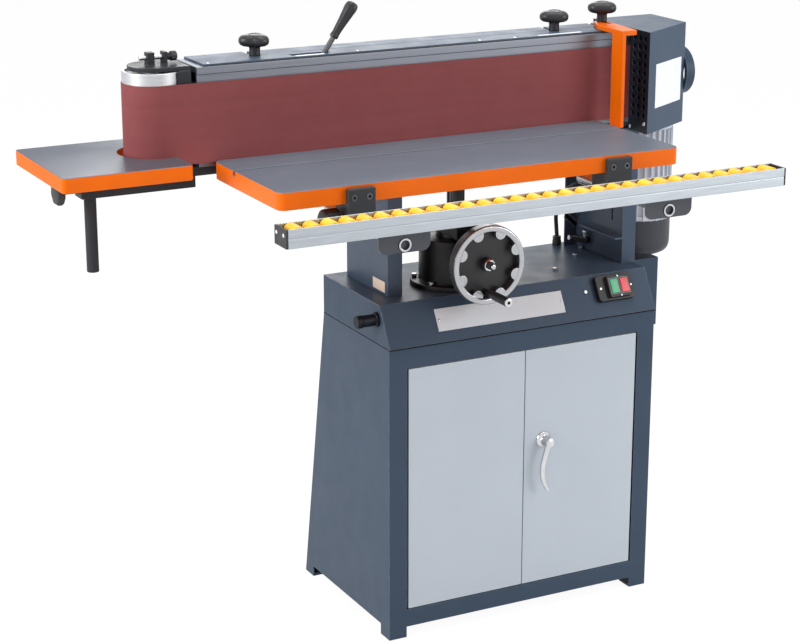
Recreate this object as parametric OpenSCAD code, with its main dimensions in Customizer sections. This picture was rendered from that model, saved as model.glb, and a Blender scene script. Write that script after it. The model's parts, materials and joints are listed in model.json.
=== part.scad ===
// Edge sander: a standing cabinet carries a long vertical sanding belt, a rising main table with
// a roller rail, and a small end table round the idler drum. Millimetres, +Z up, +X along the belt
// towards the motor, -Y towards the operator. Origin on the floor, in the middle of the four floor bolts.

/* [Cabinet] */
// Width of the cabinet and the hood
cab_w = 620; // [590:5:680]
// Depth of the cabinet at the floor
cab_d = 405; // [380:5:450]
// Height of the seam between cabinet and hood
cab_h = 620; // [590:5:680]
// Depth of the cabinet at the seam
seam_d = 297; // [290:1:330]
// Thickness of the cabinet and hood sheet
sheet = 3; // [2:0.5:4]
// Width of a corner foot
foot_w = 40; // [36:1:60]
// Height of the gap under the cabinet
foot_h = 23; // [15:1:40]
// Thickness of a foot plate
foot_t = 6; // [4:0.5:10]
// Diameter of a floor bolt hole
foot_bolt_d = 11; // [8:0.5:14]
// Distance from the cabinet's sides to a floor bolt
foot_bolt_inset = 22; // [18:1:28]

/* [Doors] */
// Width of the frame beside the door opening
door_side = 40; // [34:1:60]
// Height of the frame above the door opening
door_head = 43; // [38:1:60]
// Height of the lower edge of the door opening
door_z = 61; // [45:1:70]
// Thickness of a folded door
door_t = 16; // [14:1:22]
// Thickness of the door sheet
door_skin = 2; // [1:0.5:3]
// Gap round a door
door_gap = 2; // [1.5:0.5:3]
// Gap on the hinge side of a door
hinge_gap = 4; // [3.5:0.5:6]
// Diameter of a door hinge pin
hinge_pin_d = 6; // [4:0.5:7]
// Distance of the handle from the middle of the opening
handle_x = 46; // [40:1:70]
// Distance of the handle below the top of the door opening
handle_drop = 200; // [120:1:300]
// Length of the handle's lever
handle_lever_l = 100; // [70:1:130]

/* [Hood] */
// Height of the hood
hood_h = 81; // [75:1:100]
// How far the hood's slope leans back
hood_setback = 42; // [35:1:55]
// How far the hood's lower edge stands in front of the cabinet
hood_lip = 4; // [2:0.5:6]
// Width of the switch plate
switch_w = 88; // [80:1:110]
// Height of the switch plate along the slope
switch_l = 55; // [46:1:60]
// Distance from the hood's right side to the middle of the switch
switch_inset = 89; // [70:1:120]
// Width of a switch button
button_w = 18; // [14:1:20]
// Height of a switch button
button_l = 30; // [24:1:32]
// Travel of a switch button
button_travel = 4; // [2:0.5:5]

/* [Belt] */
// Width of the sanding belt
belt_w = 150; // [120:1:170]
// Thickness of the sanding belt
belt_t = 1; // [0.8:0.1:1.6]
// Outer radius of the belt round a drum
belt_r = 58; // [54:0.5:60]
// Distance between the drum axes
drum_span = 1086; // [1060:1:1120]
// Distance from the cabinet's side to the drive drum's axis
drive_overhang = 50; // [46:1:60]
// Distance from the cabinet's front to the belt
belt_setback = 84.5; // [80:0.5:100]
// Height of the belt's lower edge above the hood
belt_rise = 311; // [300:1:340]

/* [Main table] */
// Length of the main table
table_w = 839; // [800:1:850]
// Depth of the main table
table_d = 298; // [280:1:320]
// Height of the main table's edge
table_t = 33; // [28:1:38]
// Thickness of the main table's plate
table_plate_t = 12; // [10:1:16]
// Radius of the main table's corners
table_corner_r = 16; // [8:1:24]
// Distance from the idler's axis to the main table's end
table_start = 92; // [85:1:110]
// Height of the main table above the belt's lower edge
table_over_belt = 3; // [1:0.5:6]
// Travel of the main table above rest
lift_travel = 85; // [60:1:90]

/* [Lift] */
// Distance from the left post to the lift's axis
lift_at = 164; // [150:1:180]
// Distance from the cabinet's front to the lift's axis
lift_setback = 128.5; // [126:0.5:140]
// Radius of the lift housing
lift_body_r = 65; // [54:1:68]
// Diameter of the lift ram
ram_d = 60; // [56:1:66]
// Diameter of the lift screw
screw_d = 18; // [16:1:24]
// Diameter of the handwheel
wheel_d = 160; // [140:2:180]
// Diameter of the handwheel's shaft
wheel_shaft_d = 16; // [12:1:18]
// Height of the handwheel above the hood
wheel_rise = 73; // [70:1:76]

/* [Roller rail] */
// Length of the rail
rail_l = 1001; // [900:1:1050]
// Height of the rail profile
rail_h = 33; // [30:1:38]
// Depth of the rail profile
rail_d = 48; // [36:1:56]
// Gap between the rail and the table's edge at rest
rail_reach = 175; // [168:1:190]
// Pitch of the rollers
roller_pitch = 33; // [31:1:40]
// Diameter of a roller
roller_d = 25; // [22:1:30]
// Diameter of a rail tube
rail_tube_d = 24; // [22:0.5:30]
// Length of a rail tube
rail_tube_l = 300; // [290:1:310]

/* [End table] */
// Length of the end table along the belt
end_w = 247; // [230:1:280]
// Depth of the end table
end_d = 278; // [250:1:290]
// Height of the end table's edge
end_t = 28; // [24:1:34]
// Height of the end table above the main table
end_step = 16; // [10:1:30]
// Diameter of the end table's post
end_post_d = 23; // [18:0.5:28]
// Length of the end table's post below the plate
end_post_l = 204; // [190:1:230]
// Gap between the belt and the end table's notch
notch_gap = 12; // [8:1:20]

/* [Motor and dust hood] */
// Radius of the motor over its fins
motor_r = 65; // [56:1:66]
// Diameter of the motor shaft
motor_shaft_d = 24; // [18:1:28]
// Diameter of the dust port
port_d = 100; // [80:1:120]
// Length of the dust port
port_l = 26; // [20:1:70]
// Angle of the dust hood's front
dust_angle = 30; // [26:1:34]

/* [Hidden] */
$fn = 64;
over = 1;
run_gap = 0.05;
body_gap = 0.3;
slate = [0.28, 0.33, 0.4];
pale = [0.75, 0.78, 0.81];
orange = [0.93, 0.43, 0.07];
black = [0.18, 0.18, 0.2];
steel = [0.7, 0.71, 0.73];
iron = [0.5, 0.51, 0.54];
yellow = [1, 0.77, 0.15];
belt_red = [0.52, 0.27, 0.27];

// Main places
front_y = -cab_d / 2;
seam_y = front_y + seam_d;
deck_z = cab_h + hood_h;
lip_y = front_y - hood_lip;
slope_run = hood_setback + hood_lip;
slope_l = sqrt(pow(slope_run, 2) + pow(hood_h, 2));
slope_a = atan2(hood_h, slope_run);
belt_y = front_y + belt_setback;
loop_y = belt_y + belt_r;
belt_z = deck_z + belt_rise;
drive_x = cab_w / 2 + drive_overhang;
idler_x = drive_x - drum_span;
drum_r = belt_r - belt_t - body_gap;
drum_wall = 6;
drum_under = 6;
drum_z0 = belt_z - drum_under;
idler_band = 22;
idler_z1 = belt_z + belt_w + idler_band;
drive_band = 10;
drive_z1 = belt_z + belt_w + drive_band;

// Doors
door_open_w = cab_w - 2 * door_side;
door_open_h = cab_h - door_z - door_head;
ledge_d = 18;
hinge_set = 4;
hinge_inset = sheet + hinge_set;
hinge_x = door_open_w / 2 - hinge_gap - hinge_inset;
hinge_y = front_y + hinge_inset;
pin_engage = 12;
pin_head_d = 2 * (hinge_set - body_gap);
pin_head_h = 3;
boss_w = 14;
boss_h = 20;
handle_z = door_z + door_open_h - handle_drop;
handle_shaft_d = 12;
handle_boss_d = 24;
handle_boss_l = 12;
rose_d = 34;
rose_t = 5;
neck_d = 20;
neck_l = 24;
lever_w = 13;
lever_bow = 15;
tongue_l = 50;
tongue_w = 14;
tongue_t = 3;

// Switch
switch_x = cab_w / 2 - switch_inset;
switch_t = 12;
switch_s = 59;
guard_w = 52;
guard_l = 46;
guard_t = 8;
button_pitch = 24;
button_offset = 4.5;
button_proud = 3;
well_floor = 3;
button_t = switch_t + guard_t + button_proud - well_floor - button_travel - over;

// Posts
post_w = 33;
post_t = 4;
post_d = 184;
post_setback = 4;
post_y = belt_y + post_setback;
left_post_inset = 42;
left_post_x = -cab_w / 2 + left_post_inset;
right_post_inset = 27;
right_post_x = cab_w / 2 - right_post_inset;
shelf_rise = 52;
shelf_w = 18;
shelf_l = 141;
post_slot_w = 6;
post_slot_l = 26;
post_slot_y = 38;
post_slot_rise = 85;
post_rear_w = 29;
cable_setback = 82;
cable_y = loop_y + cable_setback;
cable_rise = 149;
cable_z = deck_z + cable_rise;
cable_pass_d = 24;

// Beam and platen
beam_wall = 8;
beam_top_t = 10;
beam_relief = 5;
beam_half = belt_r - belt_t - beam_relief;
beam_y0 = loop_y - beam_half;
beam_y1 = loop_y + beam_half;
beam_under = 9;
beam_z0 = belt_z - beam_under;
beam_band = 28;
beam_z1 = belt_z + belt_w + beam_band;
beam_start = 67;
beam_x0 = idler_x + beam_start;
beam_end_gap = 6;
beam_x1 = drive_x - belt_r - beam_end_gap;
beam_lip = 2;
beam_lip_h = 14;
web_t = 8;
web_z = (beam_z0 + beam_z1) / 2 - web_t / 2;
platen_end = 15;
platen_edge = 4;
cover_t = 4;
cover_inset = 2;
cover_start = 16;
cover_x0 = beam_x0 + cover_start;
cover_z1 = beam_z1 + cover_t;

// Top fittings
knob_d = 62;
knob_h = 18;
knob_neck_d = 21;
knob_neck_l = 22;
knob_lobe_d = 30;
knob_core_d = 40;
knob_turn = 55;
knob_crown_h = 4;
stud_d = 8;
stud_l = 22;
left_knob_at = 206;
left_knob_x = idler_x + left_knob_at;
right_knob_at = 222;
right_knob_x = drive_x - right_knob_at;
stop_knob_at = 108;
stop_knob_x = drive_x - stop_knob_at;
cover_slot_play = 2;
cover_slot_w = stud_d + cover_slot_play;
stop_t = 10;
stop_offset = 33;
stop_x = stop_knob_x - stop_offset;
stop_w = 42;
stop_plate_t = 8;
stop_plate_d = 40;
stop_travel = 30;
stop_near = 2;
stop_plate_y = belt_y - stop_near - stop_travel;
stop_front = stop_plate_y - stop_plate_d;
stop_tail = 12;
stop_back = loop_y + stop_tail;
stop_tip_w = 33;
stop_tip_l = 80;
stop_taper_w = 21;
stop_taper_l = 48;
stop_slot_play = 1;
stop_slot_w = stud_d + stop_slot_play;
stop_below_table = 6;
stop_z0 = belt_z + table_over_belt - stop_below_table;
stop_z1 = cover_z1 + body_gap;

// Tension lever
lever_start = 307;
lever_x = idler_x + lever_start;
lever_offset = 28;
lever_y = loop_y - lever_offset;
lever_rise = 138;
lever_z = belt_z + lever_rise;
lever_lean = 35;
cam_r = 16;
cam_e = 8;
cam_w = 16;
cam_gap = 1;
lever_pin_d = 12;
lever_rod_d = 10;
lever_rod_l = 86;
grip_l = 77;
grip_d0 = 16;
grip_d1 = 25;
lever_slot_w = 16;
lever_slot_half = (cover_z1 - lever_z) * tan(lever_lean) + lever_rod_d;

// Idler carriage
carriage_t = 8;
carriage_r = 46;
carriage_z = idler_z1 + over;
carriage_gap = 10;
carriage_x1 = beam_x0 - carriage_gap;
cheek_gap = 2;
guide_w = 28;
guide_h = 20;
cheek_z = lever_z - guide_h / 2;
guide_l = 140;
guide_x1 = beam_x0 + guide_l;
guide_block_l = 60;
guide_block_at = 16;
guide_block_x = beam_x0 + guide_block_at;
push_rod_d = 12;
axle_d = 20;
track_at = 4;
track_x = idler_x - track_at;
track_w = 14;
track_d = 18;
track_h = 23;
track_rise = 13;
track_lug_at = 24;
track_lug_x = idler_x + track_lug_at;
track_lug_w = 8;
track_screw_d = 10;
track_head_d = 18;
track_head_l = 12;
track_tail = 14;
track_end = 48;
track_end_x = idler_x + track_end;

// Dust hood and drive plate
dust_wall = 2;
dust_left = 76;
dust_x0 = drive_x - dust_left;
dust_right = 10;
dust_x1 = drive_x + belt_r + dust_right;
dust_front_reach = 72;
dust_y0 = belt_y - dust_front_reach;
dust_back = 24;
dust_y2 = loop_y + belt_r + dust_back;
dust_top_gap = 1;
dust_z1 = cover_z1 + dust_top_gap + dust_wall;
dust_pass = 2;
port_rise = 3;
port_z = belt_z + belt_w / 2 + port_rise;
port_wall = 2;
port_flange = 8;
hole_d = 12;
hole_rows = 10;
hole_cols = 3;
hole_pitch_y = 19;
hole_pitch_z = 17.3;
hole_start_y = 17;
hole_start_z = 36;
plate_t = 14;
plate_left = 83;
plate_x0 = right_post_x - plate_left;
plate_front = 44;
plate_y0 = loop_y - plate_front;
plate_z = beam_z0 - plate_t;
dust_z0 = plate_z;

// Motor
fan_cover_h = 77;
fan_cover_rise = 8;
fan_cover_z = deck_z + fan_cover_rise;
fan_cover_wall = 2.5;
motor_z0 = fan_cover_z + fan_cover_h;
motor_flange_t = 10;
fin_h = 6;
fin_t = 3;
fin_count = 28;
terminal_w = 60;
terminal_d = 52;
terminal_h = 70;
terminal_z = cable_z - terminal_h / 2;
terminal_x = drive_x - terminal_w / 2;
gland_d = 18;
gland_l = 12;
fan_d = 100;
fan_t = 12;
fan_rise = 24;
grille_slot_w = 5;
grille_slot_l = 30;
grille_count = 12;
grille_r = 18;
shaft_drop = 10;
shaft_top = belt_z + belt_w - shaft_drop;

// Cable route
cable_d = 9;
cable_sides = 10;
cable_side = [0, 1, 0];
deck_gland_d = 22;
deck_gland_neck_d = 18;
deck_gland_h = 20;
cable_start = [terminal_x - gland_l, cable_y, cable_z];
cable_steps = [[0, 0, 0], [-18, 0, 0], [-38, 0, 0], [-56, 2, -2], [-70, 8, -8], [-80, 20, -20],
  [-84, 34, -38], [-84, 46, -60], [-81, 54, -84], [-77, 58, -108], [-75, 58, -129]];
cable_points = [for (step = cable_steps) cable_start + step];
deck_gland = cable_points[len(cable_points) - 1];

// Lift
lift_x = left_post_x + lift_at;
lift_y = front_y + lift_setback;
lift_flange_w = 18;
lift_flange_r = lift_body_r + lift_flange_w;
lift_flange_t = 10;
lift_body_h = 99;
lift_top = deck_z + lift_body_h;
lift_floor_t = 8;
lift_bolt_r = lift_body_r + lift_flange_w / 2;
lift_bolt_d = 12;
lift_bolt_h = 7;
lift_bolt_count = 6;
wheel_z = deck_z + wheel_rise;
wheel_reach = 20;
wheel_y = front_y - wheel_reach;
ram_bore = 44;
ram_foot = 17;
ram_z0 = deck_z + ram_foot;
ram_l = 134;
ram_z1 = ram_z0 + ram_l;
nut_h = 26;
ram_slot_play = 6;
ram_slot_w = wheel_shaft_d + ram_slot_play;
ram_slot_over = 18;
ram_slot_z1 = wheel_z + wheel_shaft_d / 2 + ram_slot_over;
gear_r = 13;
gear_gap = 0.4;
journal_d = 12;
screw_rise = 224;
screw_top = deck_z + screw_rise;
rim_w = 13;
rim_d = 23;
rim_edge = 4;
rim_in = wheel_d / 2 - rim_w;
web_gap = 0.2;
web_r = rim_in - web_gap;
wheel_web_t = 6;
wheel_recess = 16;
wheel_web_z = rim_d / 2 - wheel_recess;
hub_r = 14;
hub_l = 22;
lobe_count = 8;
lobe_r = 12;
lobe_set = 1.5;
lobe_h = wheel_recess - lobe_set;
spin_inset = 23;
spin_r = wheel_d / 2 - spin_inset;
spin_stud_d = 8;
spin_d = 18;
spin_l = 90;
spin_gap = 1.5;

// Main table
table_x0 = idler_x + table_start;
table_x1 = table_x0 + table_w;
table_gap = 3;
table_back = belt_y - table_gap;
table_front = table_back - table_d;
table_z1 = belt_z + table_over_belt;
table_z0 = table_z1 - table_t;
table_under = table_z1 - table_plate_t;
apron_t = 10;
slot_setback = 96;
slot_y = table_back - slot_setback;
slot_w = 7;
slot_h = 5;
tee_w = 14;
tee_h = 4;
rib_t = 8;
rib_drop = 12;
arm_h = 36;
arm_w = 40;
arm_drop = 2;
arm_z = ram_z1 - arm_h - arm_drop;
arm_ring_d = 84;
stalk_w = 18;
stalk_shift = -30;
stalk_x = lift_x + stalk_shift;
stalk_setback = 48;
stalk_y0 = table_back - stalk_setback;
stalk_d = 18;
pad_w = 120;
pad_d = 54;
pad_t = 10;

// Roller rail
rail_start = 8;
rail_x0 = idler_x + rail_start;
rail_y1 = table_front - rail_reach;
rail_y0 = rail_y1 - rail_d;
rail_under = 5;
rail_z1 = table_z1 - rail_under;
rail_z0 = rail_z1 - rail_h;
rail_wall = 3;
rail_floor = 6;
cap_t = 4;
roller_play = 3;
roller_len = rail_d - 2 * rail_wall - 2 * roller_play;
roller_axle_d = 5;
roller_proud = 2;
roller_z = rail_z1 + roller_proud - roller_d / 2;
roller_count = floor((rail_l - roller_d) / roller_pitch) + 1;
roller_start = (rail_l - (roller_count - 1) * roller_pitch) / 2;
tube_at = [155, 142];
tube_x = [table_x0 + tube_at[0], table_x1 - tube_at[1]];
tube_wall = 3.5;
tube_drop = 32;
tube_z = rail_z0 - tube_drop;
tube_inset = 46;
tube_y0 = rail_y0 + tube_inset;
carrier_w = 100;
carrier_t = 6;
carrier_drop = 14;
carrier_r = 15;
bracket_w = 54;
bracket_t = 12;
bracket_y = table_front - bracket_t;
bracket_top = rail_z1;
bracket_drop = 22;
bracket_boss_w = 48;
bracket_boss_l = 50;
cap_screw_d = 12.8;
cap_screw_h = 8;
cap_screw_pitch = 30;
cap_screw_drop = 16;
socket_d = 6.5;
socket_h = 5;
lock_d = 50;
lock_l = 32;
lock_stem_d = 10;
lock_stem_l = 3;
lock_y = table_front + bracket_boss_l / 2;

// End table
end_overlap = 19;
end_x1 = idler_x + end_overlap;
end_x0 = end_x1 - end_w;
end_front = 147;
end_y0 = loop_y - end_front;
end_z1 = table_z1 + end_step;
end_z0 = end_z1 - end_t;
end_plate_t = 12;
end_under = end_z1 - end_plate_t;
end_corner_r = 8;
notch_r = belt_r + notch_gap;
notch_rim = 9;
end_post_at = 130;
end_post_x = idler_x - end_post_at;
post_foot_d = 60;
post_foot_t = 8;
arm_beam_w = 40;
arm_beam_h = 27;
arm_under = 18;
arm_top = end_z0 - arm_under;
arm_nose = 22;
arm_beam_x0 = end_post_x - arm_nose;
arm_grip = 5;
arm_beam_x1 = beam_x0 + arm_grip;
spacer_in = 40;
spacer_grip = 60;
spacer_d = 80;
clamp_d = 48;
clamp_t = 16;
clamp_stem_d = 10;
clamp_reach = 30;

// Side pieces
box_w = 72;
box_d = 150;
box_h = 150;
box_setback = 97;
box_y = front_y + box_setback;
box_wall = 2;
peg_d = 26;
peg_l = 36;
peg_setback = 52;
peg_y = front_y + peg_setback;
peg_rise = 50;
peg_z = cab_h + peg_rise;
peg_neck_d = 24;
peg_cap_l = 10;
peg_root_d = 30;
peg_root_l = 6;
deck_bolt_d = 13;
deck_bolt_h = 7;
deck_bolt_share = 0.6;
deck_bolt_inset = 30;
deck_bolt_x = post_w * deck_bolt_share;
deck_bolt_places = [[left_post_x + deck_bolt_x, post_y + deck_bolt_inset],
  [left_post_x + deck_bolt_x, post_y + post_d - deck_bolt_inset],
  [right_post_x + deck_bolt_x, post_y + post_d - deck_bolt_inset]];

// Shapes that repeat
module block(x0, x1, y0, y1, z0, z1) translate([x0, y0, z0]) cube([x1 - x0, y1 - y0, z1 - z0]);
module rod_x(d, x0, x1, y, z) translate([x0, y, z]) rotate([0, 90, 0]) cylinder(d = d, h = x1 - x0);
module rod_y(d, y0, y1, x, z) translate([x, y0, z]) rotate([-90, 0, 0]) cylinder(d = d, h = y1 - y0);
module rod_z(d, z0, z1, x, y) translate([x, y, z0]) cylinder(d = d, h = z1 - z0);
module prism_x(x0, x1) rotate([90, 0, 90]) translate([0, 0, x0]) linear_extrude(x1 - x0) children();
module prism_y(y0, y1) translate([0, y1, 0]) rotate([90, 0, 0]) linear_extrude(y1 - y0) children();
module prism_z(z0, z1) translate([0, 0, z0]) linear_extrude(z1 - z0) children();
module on_slope(x, s) translate([x, lip_y, cab_h]) rotate([slope_a, 0, 0]) translate([0, s, 0]) children();

module rounded_plate(x0, x1, y0, y1, r) {
  translate([x0 + r, y0]) square([x1 - x0 - 2 * r, y1 - y0]);
  translate([x0, y0 + r]) square([x1 - x0, y1 - y0 - 2 * r]);
  for (x = [x0 + r, x1 - r], y = [y0 + r, y1 - r]) translate([x, y]) circle(r);
}

module loop(r) {
  translate([idler_x, loop_y]) circle(r);
  translate([drive_x, loop_y]) circle(r);
  translate([idler_x, loop_y - r]) square([drum_span, 2 * r]);
}

// Cabinet and hood
function back_y(z) = front_y + cab_d - (cab_d - seam_d) * z / cab_h;

module cabinet_side(inset, z0, z1)
  polygon([[front_y + inset, z0], [front_y + inset, z1], [back_y(z1) - inset, z1], [back_y(z0) - inset, z0]]);

module cabinet_shell() difference() {
  prism_x(-cab_w / 2, cab_w / 2) cabinet_side(0, 0, cab_h);
  prism_x(-cab_w / 2 + sheet, cab_w / 2 - sheet) cabinet_side(sheet, foot_h + sheet, cab_h - sheet);
  prism_x(-cab_w / 2 + sheet, cab_w / 2 - sheet) cabinet_side(sheet, -over, foot_h);
  block(-door_open_w / 2, door_open_w / 2, front_y - over, front_y + sheet + over, door_z,
    door_z + door_open_h);
  block(-cab_w / 2 + foot_w, cab_w / 2 - foot_w, front_y - over, front_y + cab_d + over, -over, foot_h);
  block(-cab_w / 2 - over, cab_w / 2 + over, front_y + foot_w, front_y + cab_d - foot_w, -over, foot_h);
}

module foot_plates() intersection() {
  prism_x(-cab_w / 2, cab_w / 2) cabinet_side(0, 0, foot_t);
  for (x = [-cab_w / 2, cab_w / 2 - foot_w], y = [front_y, front_y + cab_d - foot_w])
    block(x, x + foot_w, y, y + foot_w, 0, foot_t);
}

module cabinet() color(slate) difference() {
  union() {
    cabinet_shell();
    foot_plates();
    for (z = [door_z - sheet, door_z + door_open_h])
      block(-door_open_w / 2, door_open_w / 2, front_y, front_y + ledge_d, z, z + sheet);
  }
  for (x = [-1, 1], y = [-1, 1])
    rod_z(foot_bolt_d, -over, foot_t + over, x * (cab_w / 2 - foot_bolt_inset),
      y * (cab_d / 2 - foot_bolt_inset));
  for (x = [-hinge_x, hinge_x])
    rod_z(hinge_pin_d + 2 * run_gap, door_z - sheet - over, door_z + door_open_h + sheet + over, x, hinge_y);
}

module hood_side(wall, z0, z1) {
  run = wall * slope_l / hood_h;
  polygon([[lip_y + run, z0], [lip_y + run + slope_run * (z1 - cab_h) / hood_h, z1], [seam_y - wall, z1],
    [seam_y - wall, z0]]);
}

module hood() color(slate) difference() {
  prism_x(-cab_w / 2, cab_w / 2) hood_side(0, cab_h, deck_z);
  prism_x(-cab_w / 2 + sheet, cab_w / 2 - sheet) hood_side(sheet, cab_h - over, deck_z - sheet);
}

module control_box() color(slate) difference() {
  block(cab_w / 2, cab_w / 2 + box_w, box_y, box_y + box_d, deck_z - box_h, deck_z);
  block(cab_w / 2 - over, cab_w / 2 + box_w - box_wall, box_y + box_wall, box_y + box_d - box_wall,
    deck_z - box_h + box_wall, deck_z - box_wall);
}

module side_peg() color(black) {
  rod_x(peg_root_d, -cab_w / 2 - peg_root_l, -cab_w / 2, peg_y, peg_z);
  rod_x(peg_neck_d, -cab_w / 2 - peg_l, -cab_w / 2, peg_y, peg_z);
  rod_x(peg_d, -cab_w / 2 - peg_l - peg_cap_l, -cab_w / 2 - peg_l, peg_y, peg_z);
}

// Doors
module hinge_pin() {
  rod_z(hinge_pin_d, door_z - sheet, door_z + door_gap + pin_engage, hinge_x, hinge_y);
  rod_z(pin_head_d, door_z - sheet - pin_head_h, door_z - sheet, hinge_x, hinge_y);
}

module door_hinge_pins() color(steel)
  for (side = [0, 1], end = [0, 1])
    mirror([side, 0, 0])
      translate([0, 0, end * (2 * door_z + door_open_h)]) mirror([0, 0, end]) hinge_pin();

module door_pan() {
  x1 = door_open_w / 2 - hinge_gap;
  x0 = door_gap / 2;
  z0 = door_z + door_gap;
  z1 = door_z + door_open_h - door_gap;
  difference() {
    union() {
      difference() {
        block(x0, x1, front_y, front_y + door_t, z0, z1);
        block(x0 + door_skin, x1 - door_skin, front_y + door_skin, front_y + door_t + over,
          z0 + door_skin, z1 - door_skin);
      }
      for (z = [z0, z1 - boss_h]) block(x1 - boss_w, x1, front_y, front_y + door_t, z, z + boss_h);
    }
    for (z = [z0 - over, z1 - pin_engage - over])
      rod_z(hinge_pin_d + 2 * run_gap, z, z + pin_engage + 2 * over, hinge_x, hinge_y);
  }
}

module left_door() color(pale) mirror([1, 0, 0]) door_pan();

module right_door() color(pale) difference() {
  union() {
    door_pan();
    rod_y(handle_boss_d, front_y, front_y + handle_boss_l, handle_x, handle_z);
  }
  rod_y(handle_shaft_d + 2 * run_gap, front_y - over, front_y + handle_boss_l + over, handle_x, handle_z);
}

module lever_outline() {
  arc_r = (pow(handle_lever_l / 2, 2) + pow(lever_bow, 2)) / (2 * lever_bow);
  intersection() {
    translate([handle_x - lever_bow + arc_r, handle_z - handle_lever_l / 2]) difference() {
      circle(arc_r + lever_w / 2);
      circle(arc_r - lever_w / 2);
    }
    translate([handle_x - lever_bow - lever_w, handle_z - handle_lever_l])
      square([2 * lever_w + lever_bow, handle_lever_l]);
  }
}

module door_handle() color(steel) {
  tongue_y = front_y + door_t + 2 * body_gap;
  rod_y(handle_shaft_d, front_y - rose_t - neck_l, tongue_y + tongue_t, handle_x, handle_z);
  rod_y(rose_d, front_y - rose_t - body_gap, front_y - body_gap, handle_x, handle_z);
  rod_y(neck_d, front_y - rose_t - neck_l, front_y - rose_t, handle_x, handle_z);
  block(handle_x - tongue_w / 2, handle_x + tongue_w / 2, tongue_y, tongue_y + tongue_t,
    handle_z - tongue_l, handle_z + tongue_w / 2);
  prism_y(front_y - rose_t - neck_l, front_y - rose_t - neck_l + lever_w) lever_outline();
}

// Switch
module button_well(x, clear, z0, z1)
  block(x - button_w / 2 - clear, x + button_w / 2 + clear, -button_l / 2 - clear, button_l / 2 + clear,
    z0, z1);

module switch_box() color(black) on_slope(switch_x, switch_s) difference() {
  union() {
    prism_z(0, switch_t) rounded_plate(-switch_w / 2, switch_w / 2, -switch_l / 2, switch_l / 2, guard_t);
    prism_z(switch_t, switch_t + guard_t)
      rounded_plate(button_offset - guard_w / 2, button_offset + guard_w / 2, -guard_l / 2, guard_l / 2,
        guard_t / 2);
  }
  for (side = [-1, 1])
    button_well(button_offset + side * button_pitch / 2, body_gap, well_floor, switch_t + guard_t + over);
}

module switch_button(side) on_slope(switch_x, switch_s) {
  top = switch_t + guard_t + button_proud;
  button_well(button_offset + side * button_pitch / 2, 0, top - button_t, top);
}

module start_button() color([0.25, 0.65, 0.48]) switch_button(-1);
module stop_button() color([0.88, 0.32, 0.35]) switch_button(1);

// Posts
module post_body(x, top_z, turn) {
  y1 = post_y + post_d;
  block(x, x + post_t, post_y, y1, deck_z, top_z);
  block(x, x + post_w, post_y, post_y + post_t, deck_z, top_z);
  block(x, x + post_w, post_y, y1, deck_z, deck_z + post_t);
  translate([turn * (post_t - post_w), 0, 0]) block(x, x + post_w, post_y, y1, top_z - post_t, top_z);
}

module left_post() color(slate) post_body(left_post_x, beam_z0, 0);

module right_post() color(slate) difference() {
  union() {
    post_body(right_post_x, plate_z, 1);
    block(right_post_x - post_rear_w, right_post_x, post_y + post_d - post_t, post_y + post_d, deck_z,
      plate_z);
    block(right_post_x - shelf_w, right_post_x, post_y, post_y + shelf_l, deck_z + shelf_rise,
      deck_z + shelf_rise + post_t);
  }
  rod_x(cable_pass_d, right_post_x - over, right_post_x + post_t + over, cable_y, cable_z);
  block(right_post_x - over, right_post_x + post_t + over, post_y + post_slot_y,
    post_y + post_slot_y + post_slot_w, deck_z + post_slot_rise, deck_z + post_slot_rise + post_slot_l);
}

// Beam, platen, cover and belt
module knob_bores(d, z0, z1) for (x = [left_knob_x, right_knob_x, stop_knob_x]) rod_z(d, z0, z1, x, loop_y);

module lever_slot(z0, z1)
  block(lever_x - lever_slot_half, lever_x + lever_slot_half, lever_y - lever_slot_w / 2,
    lever_y + lever_slot_w / 2, z0, z1);

module beam() color(iron) {
  difference() {
    union() {
      block(beam_x0, beam_x1, beam_y0, beam_y1, beam_z0, beam_z1);
      block(beam_x0, beam_x1, beam_y0 - beam_lip, beam_y0, beam_z1 - beam_lip_h, beam_z1);
    }
    for (cell = [[beam_z0 + beam_top_t, web_z], [web_z + web_t, beam_z1 - beam_top_t]])
      block(beam_x0 - over, beam_x1 + over, beam_y0 + beam_wall, beam_y1 - beam_wall, cell[0], cell[1]);
    knob_bores(stud_d + 2 * run_gap, beam_z1 - beam_top_t - over, beam_z1 + over);
    lever_slot(beam_z1 - beam_top_t - over, beam_z1 + over);
  }
  difference() {
    block(guide_block_x, guide_block_x + guide_block_l, beam_y0 + beam_wall, beam_y1 - beam_wall,
      web_z + web_t, beam_z1 - beam_top_t);
    block(guide_block_x - over, guide_block_x + guide_block_l + over, lever_y - guide_w / 2 - body_gap,
      lever_y + guide_w / 2 + body_gap, lever_z - guide_h / 2 - body_gap, lever_z + guide_h / 2 + body_gap);
  }
  rod_y(lever_pin_d, beam_y0 + beam_wall, beam_y1 - beam_wall, lever_x, lever_z);
}

module platen() color(steel)
  block(beam_x0 + platen_end, beam_x1 - platen_end, belt_y + belt_t + body_gap, beam_y0, belt_z + platen_edge,
    belt_z + belt_w - platen_edge);

module beam_cover() color(slate) difference() {
  block(cover_x0, dust_x0, beam_y0 + cover_inset, beam_y1 - cover_inset, beam_z1, cover_z1);
  for (x = [left_knob_x, right_knob_x, stop_knob_x])
    block(x - cover_slot_w / 2, x + cover_slot_w / 2, loop_y - cover_slot_w / 2, beam_y1, beam_z1 - over,
      cover_z1 + over);
  lever_slot(beam_z1 - over, cover_z1 + over);
}

module sanding_belt() color(belt_red) prism_z(belt_z, belt_z + belt_w) difference() {
  loop(belt_r);
  loop(belt_r - belt_t);
}

// Top fittings
module knob_outline() {
  circle(d = knob_core_d);
  for (a = [0 : 120 : 240]) rotate(knob_turn + a) translate([(knob_d - knob_lobe_d) / 2, 0])
    circle(d = knob_lobe_d);
}

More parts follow.
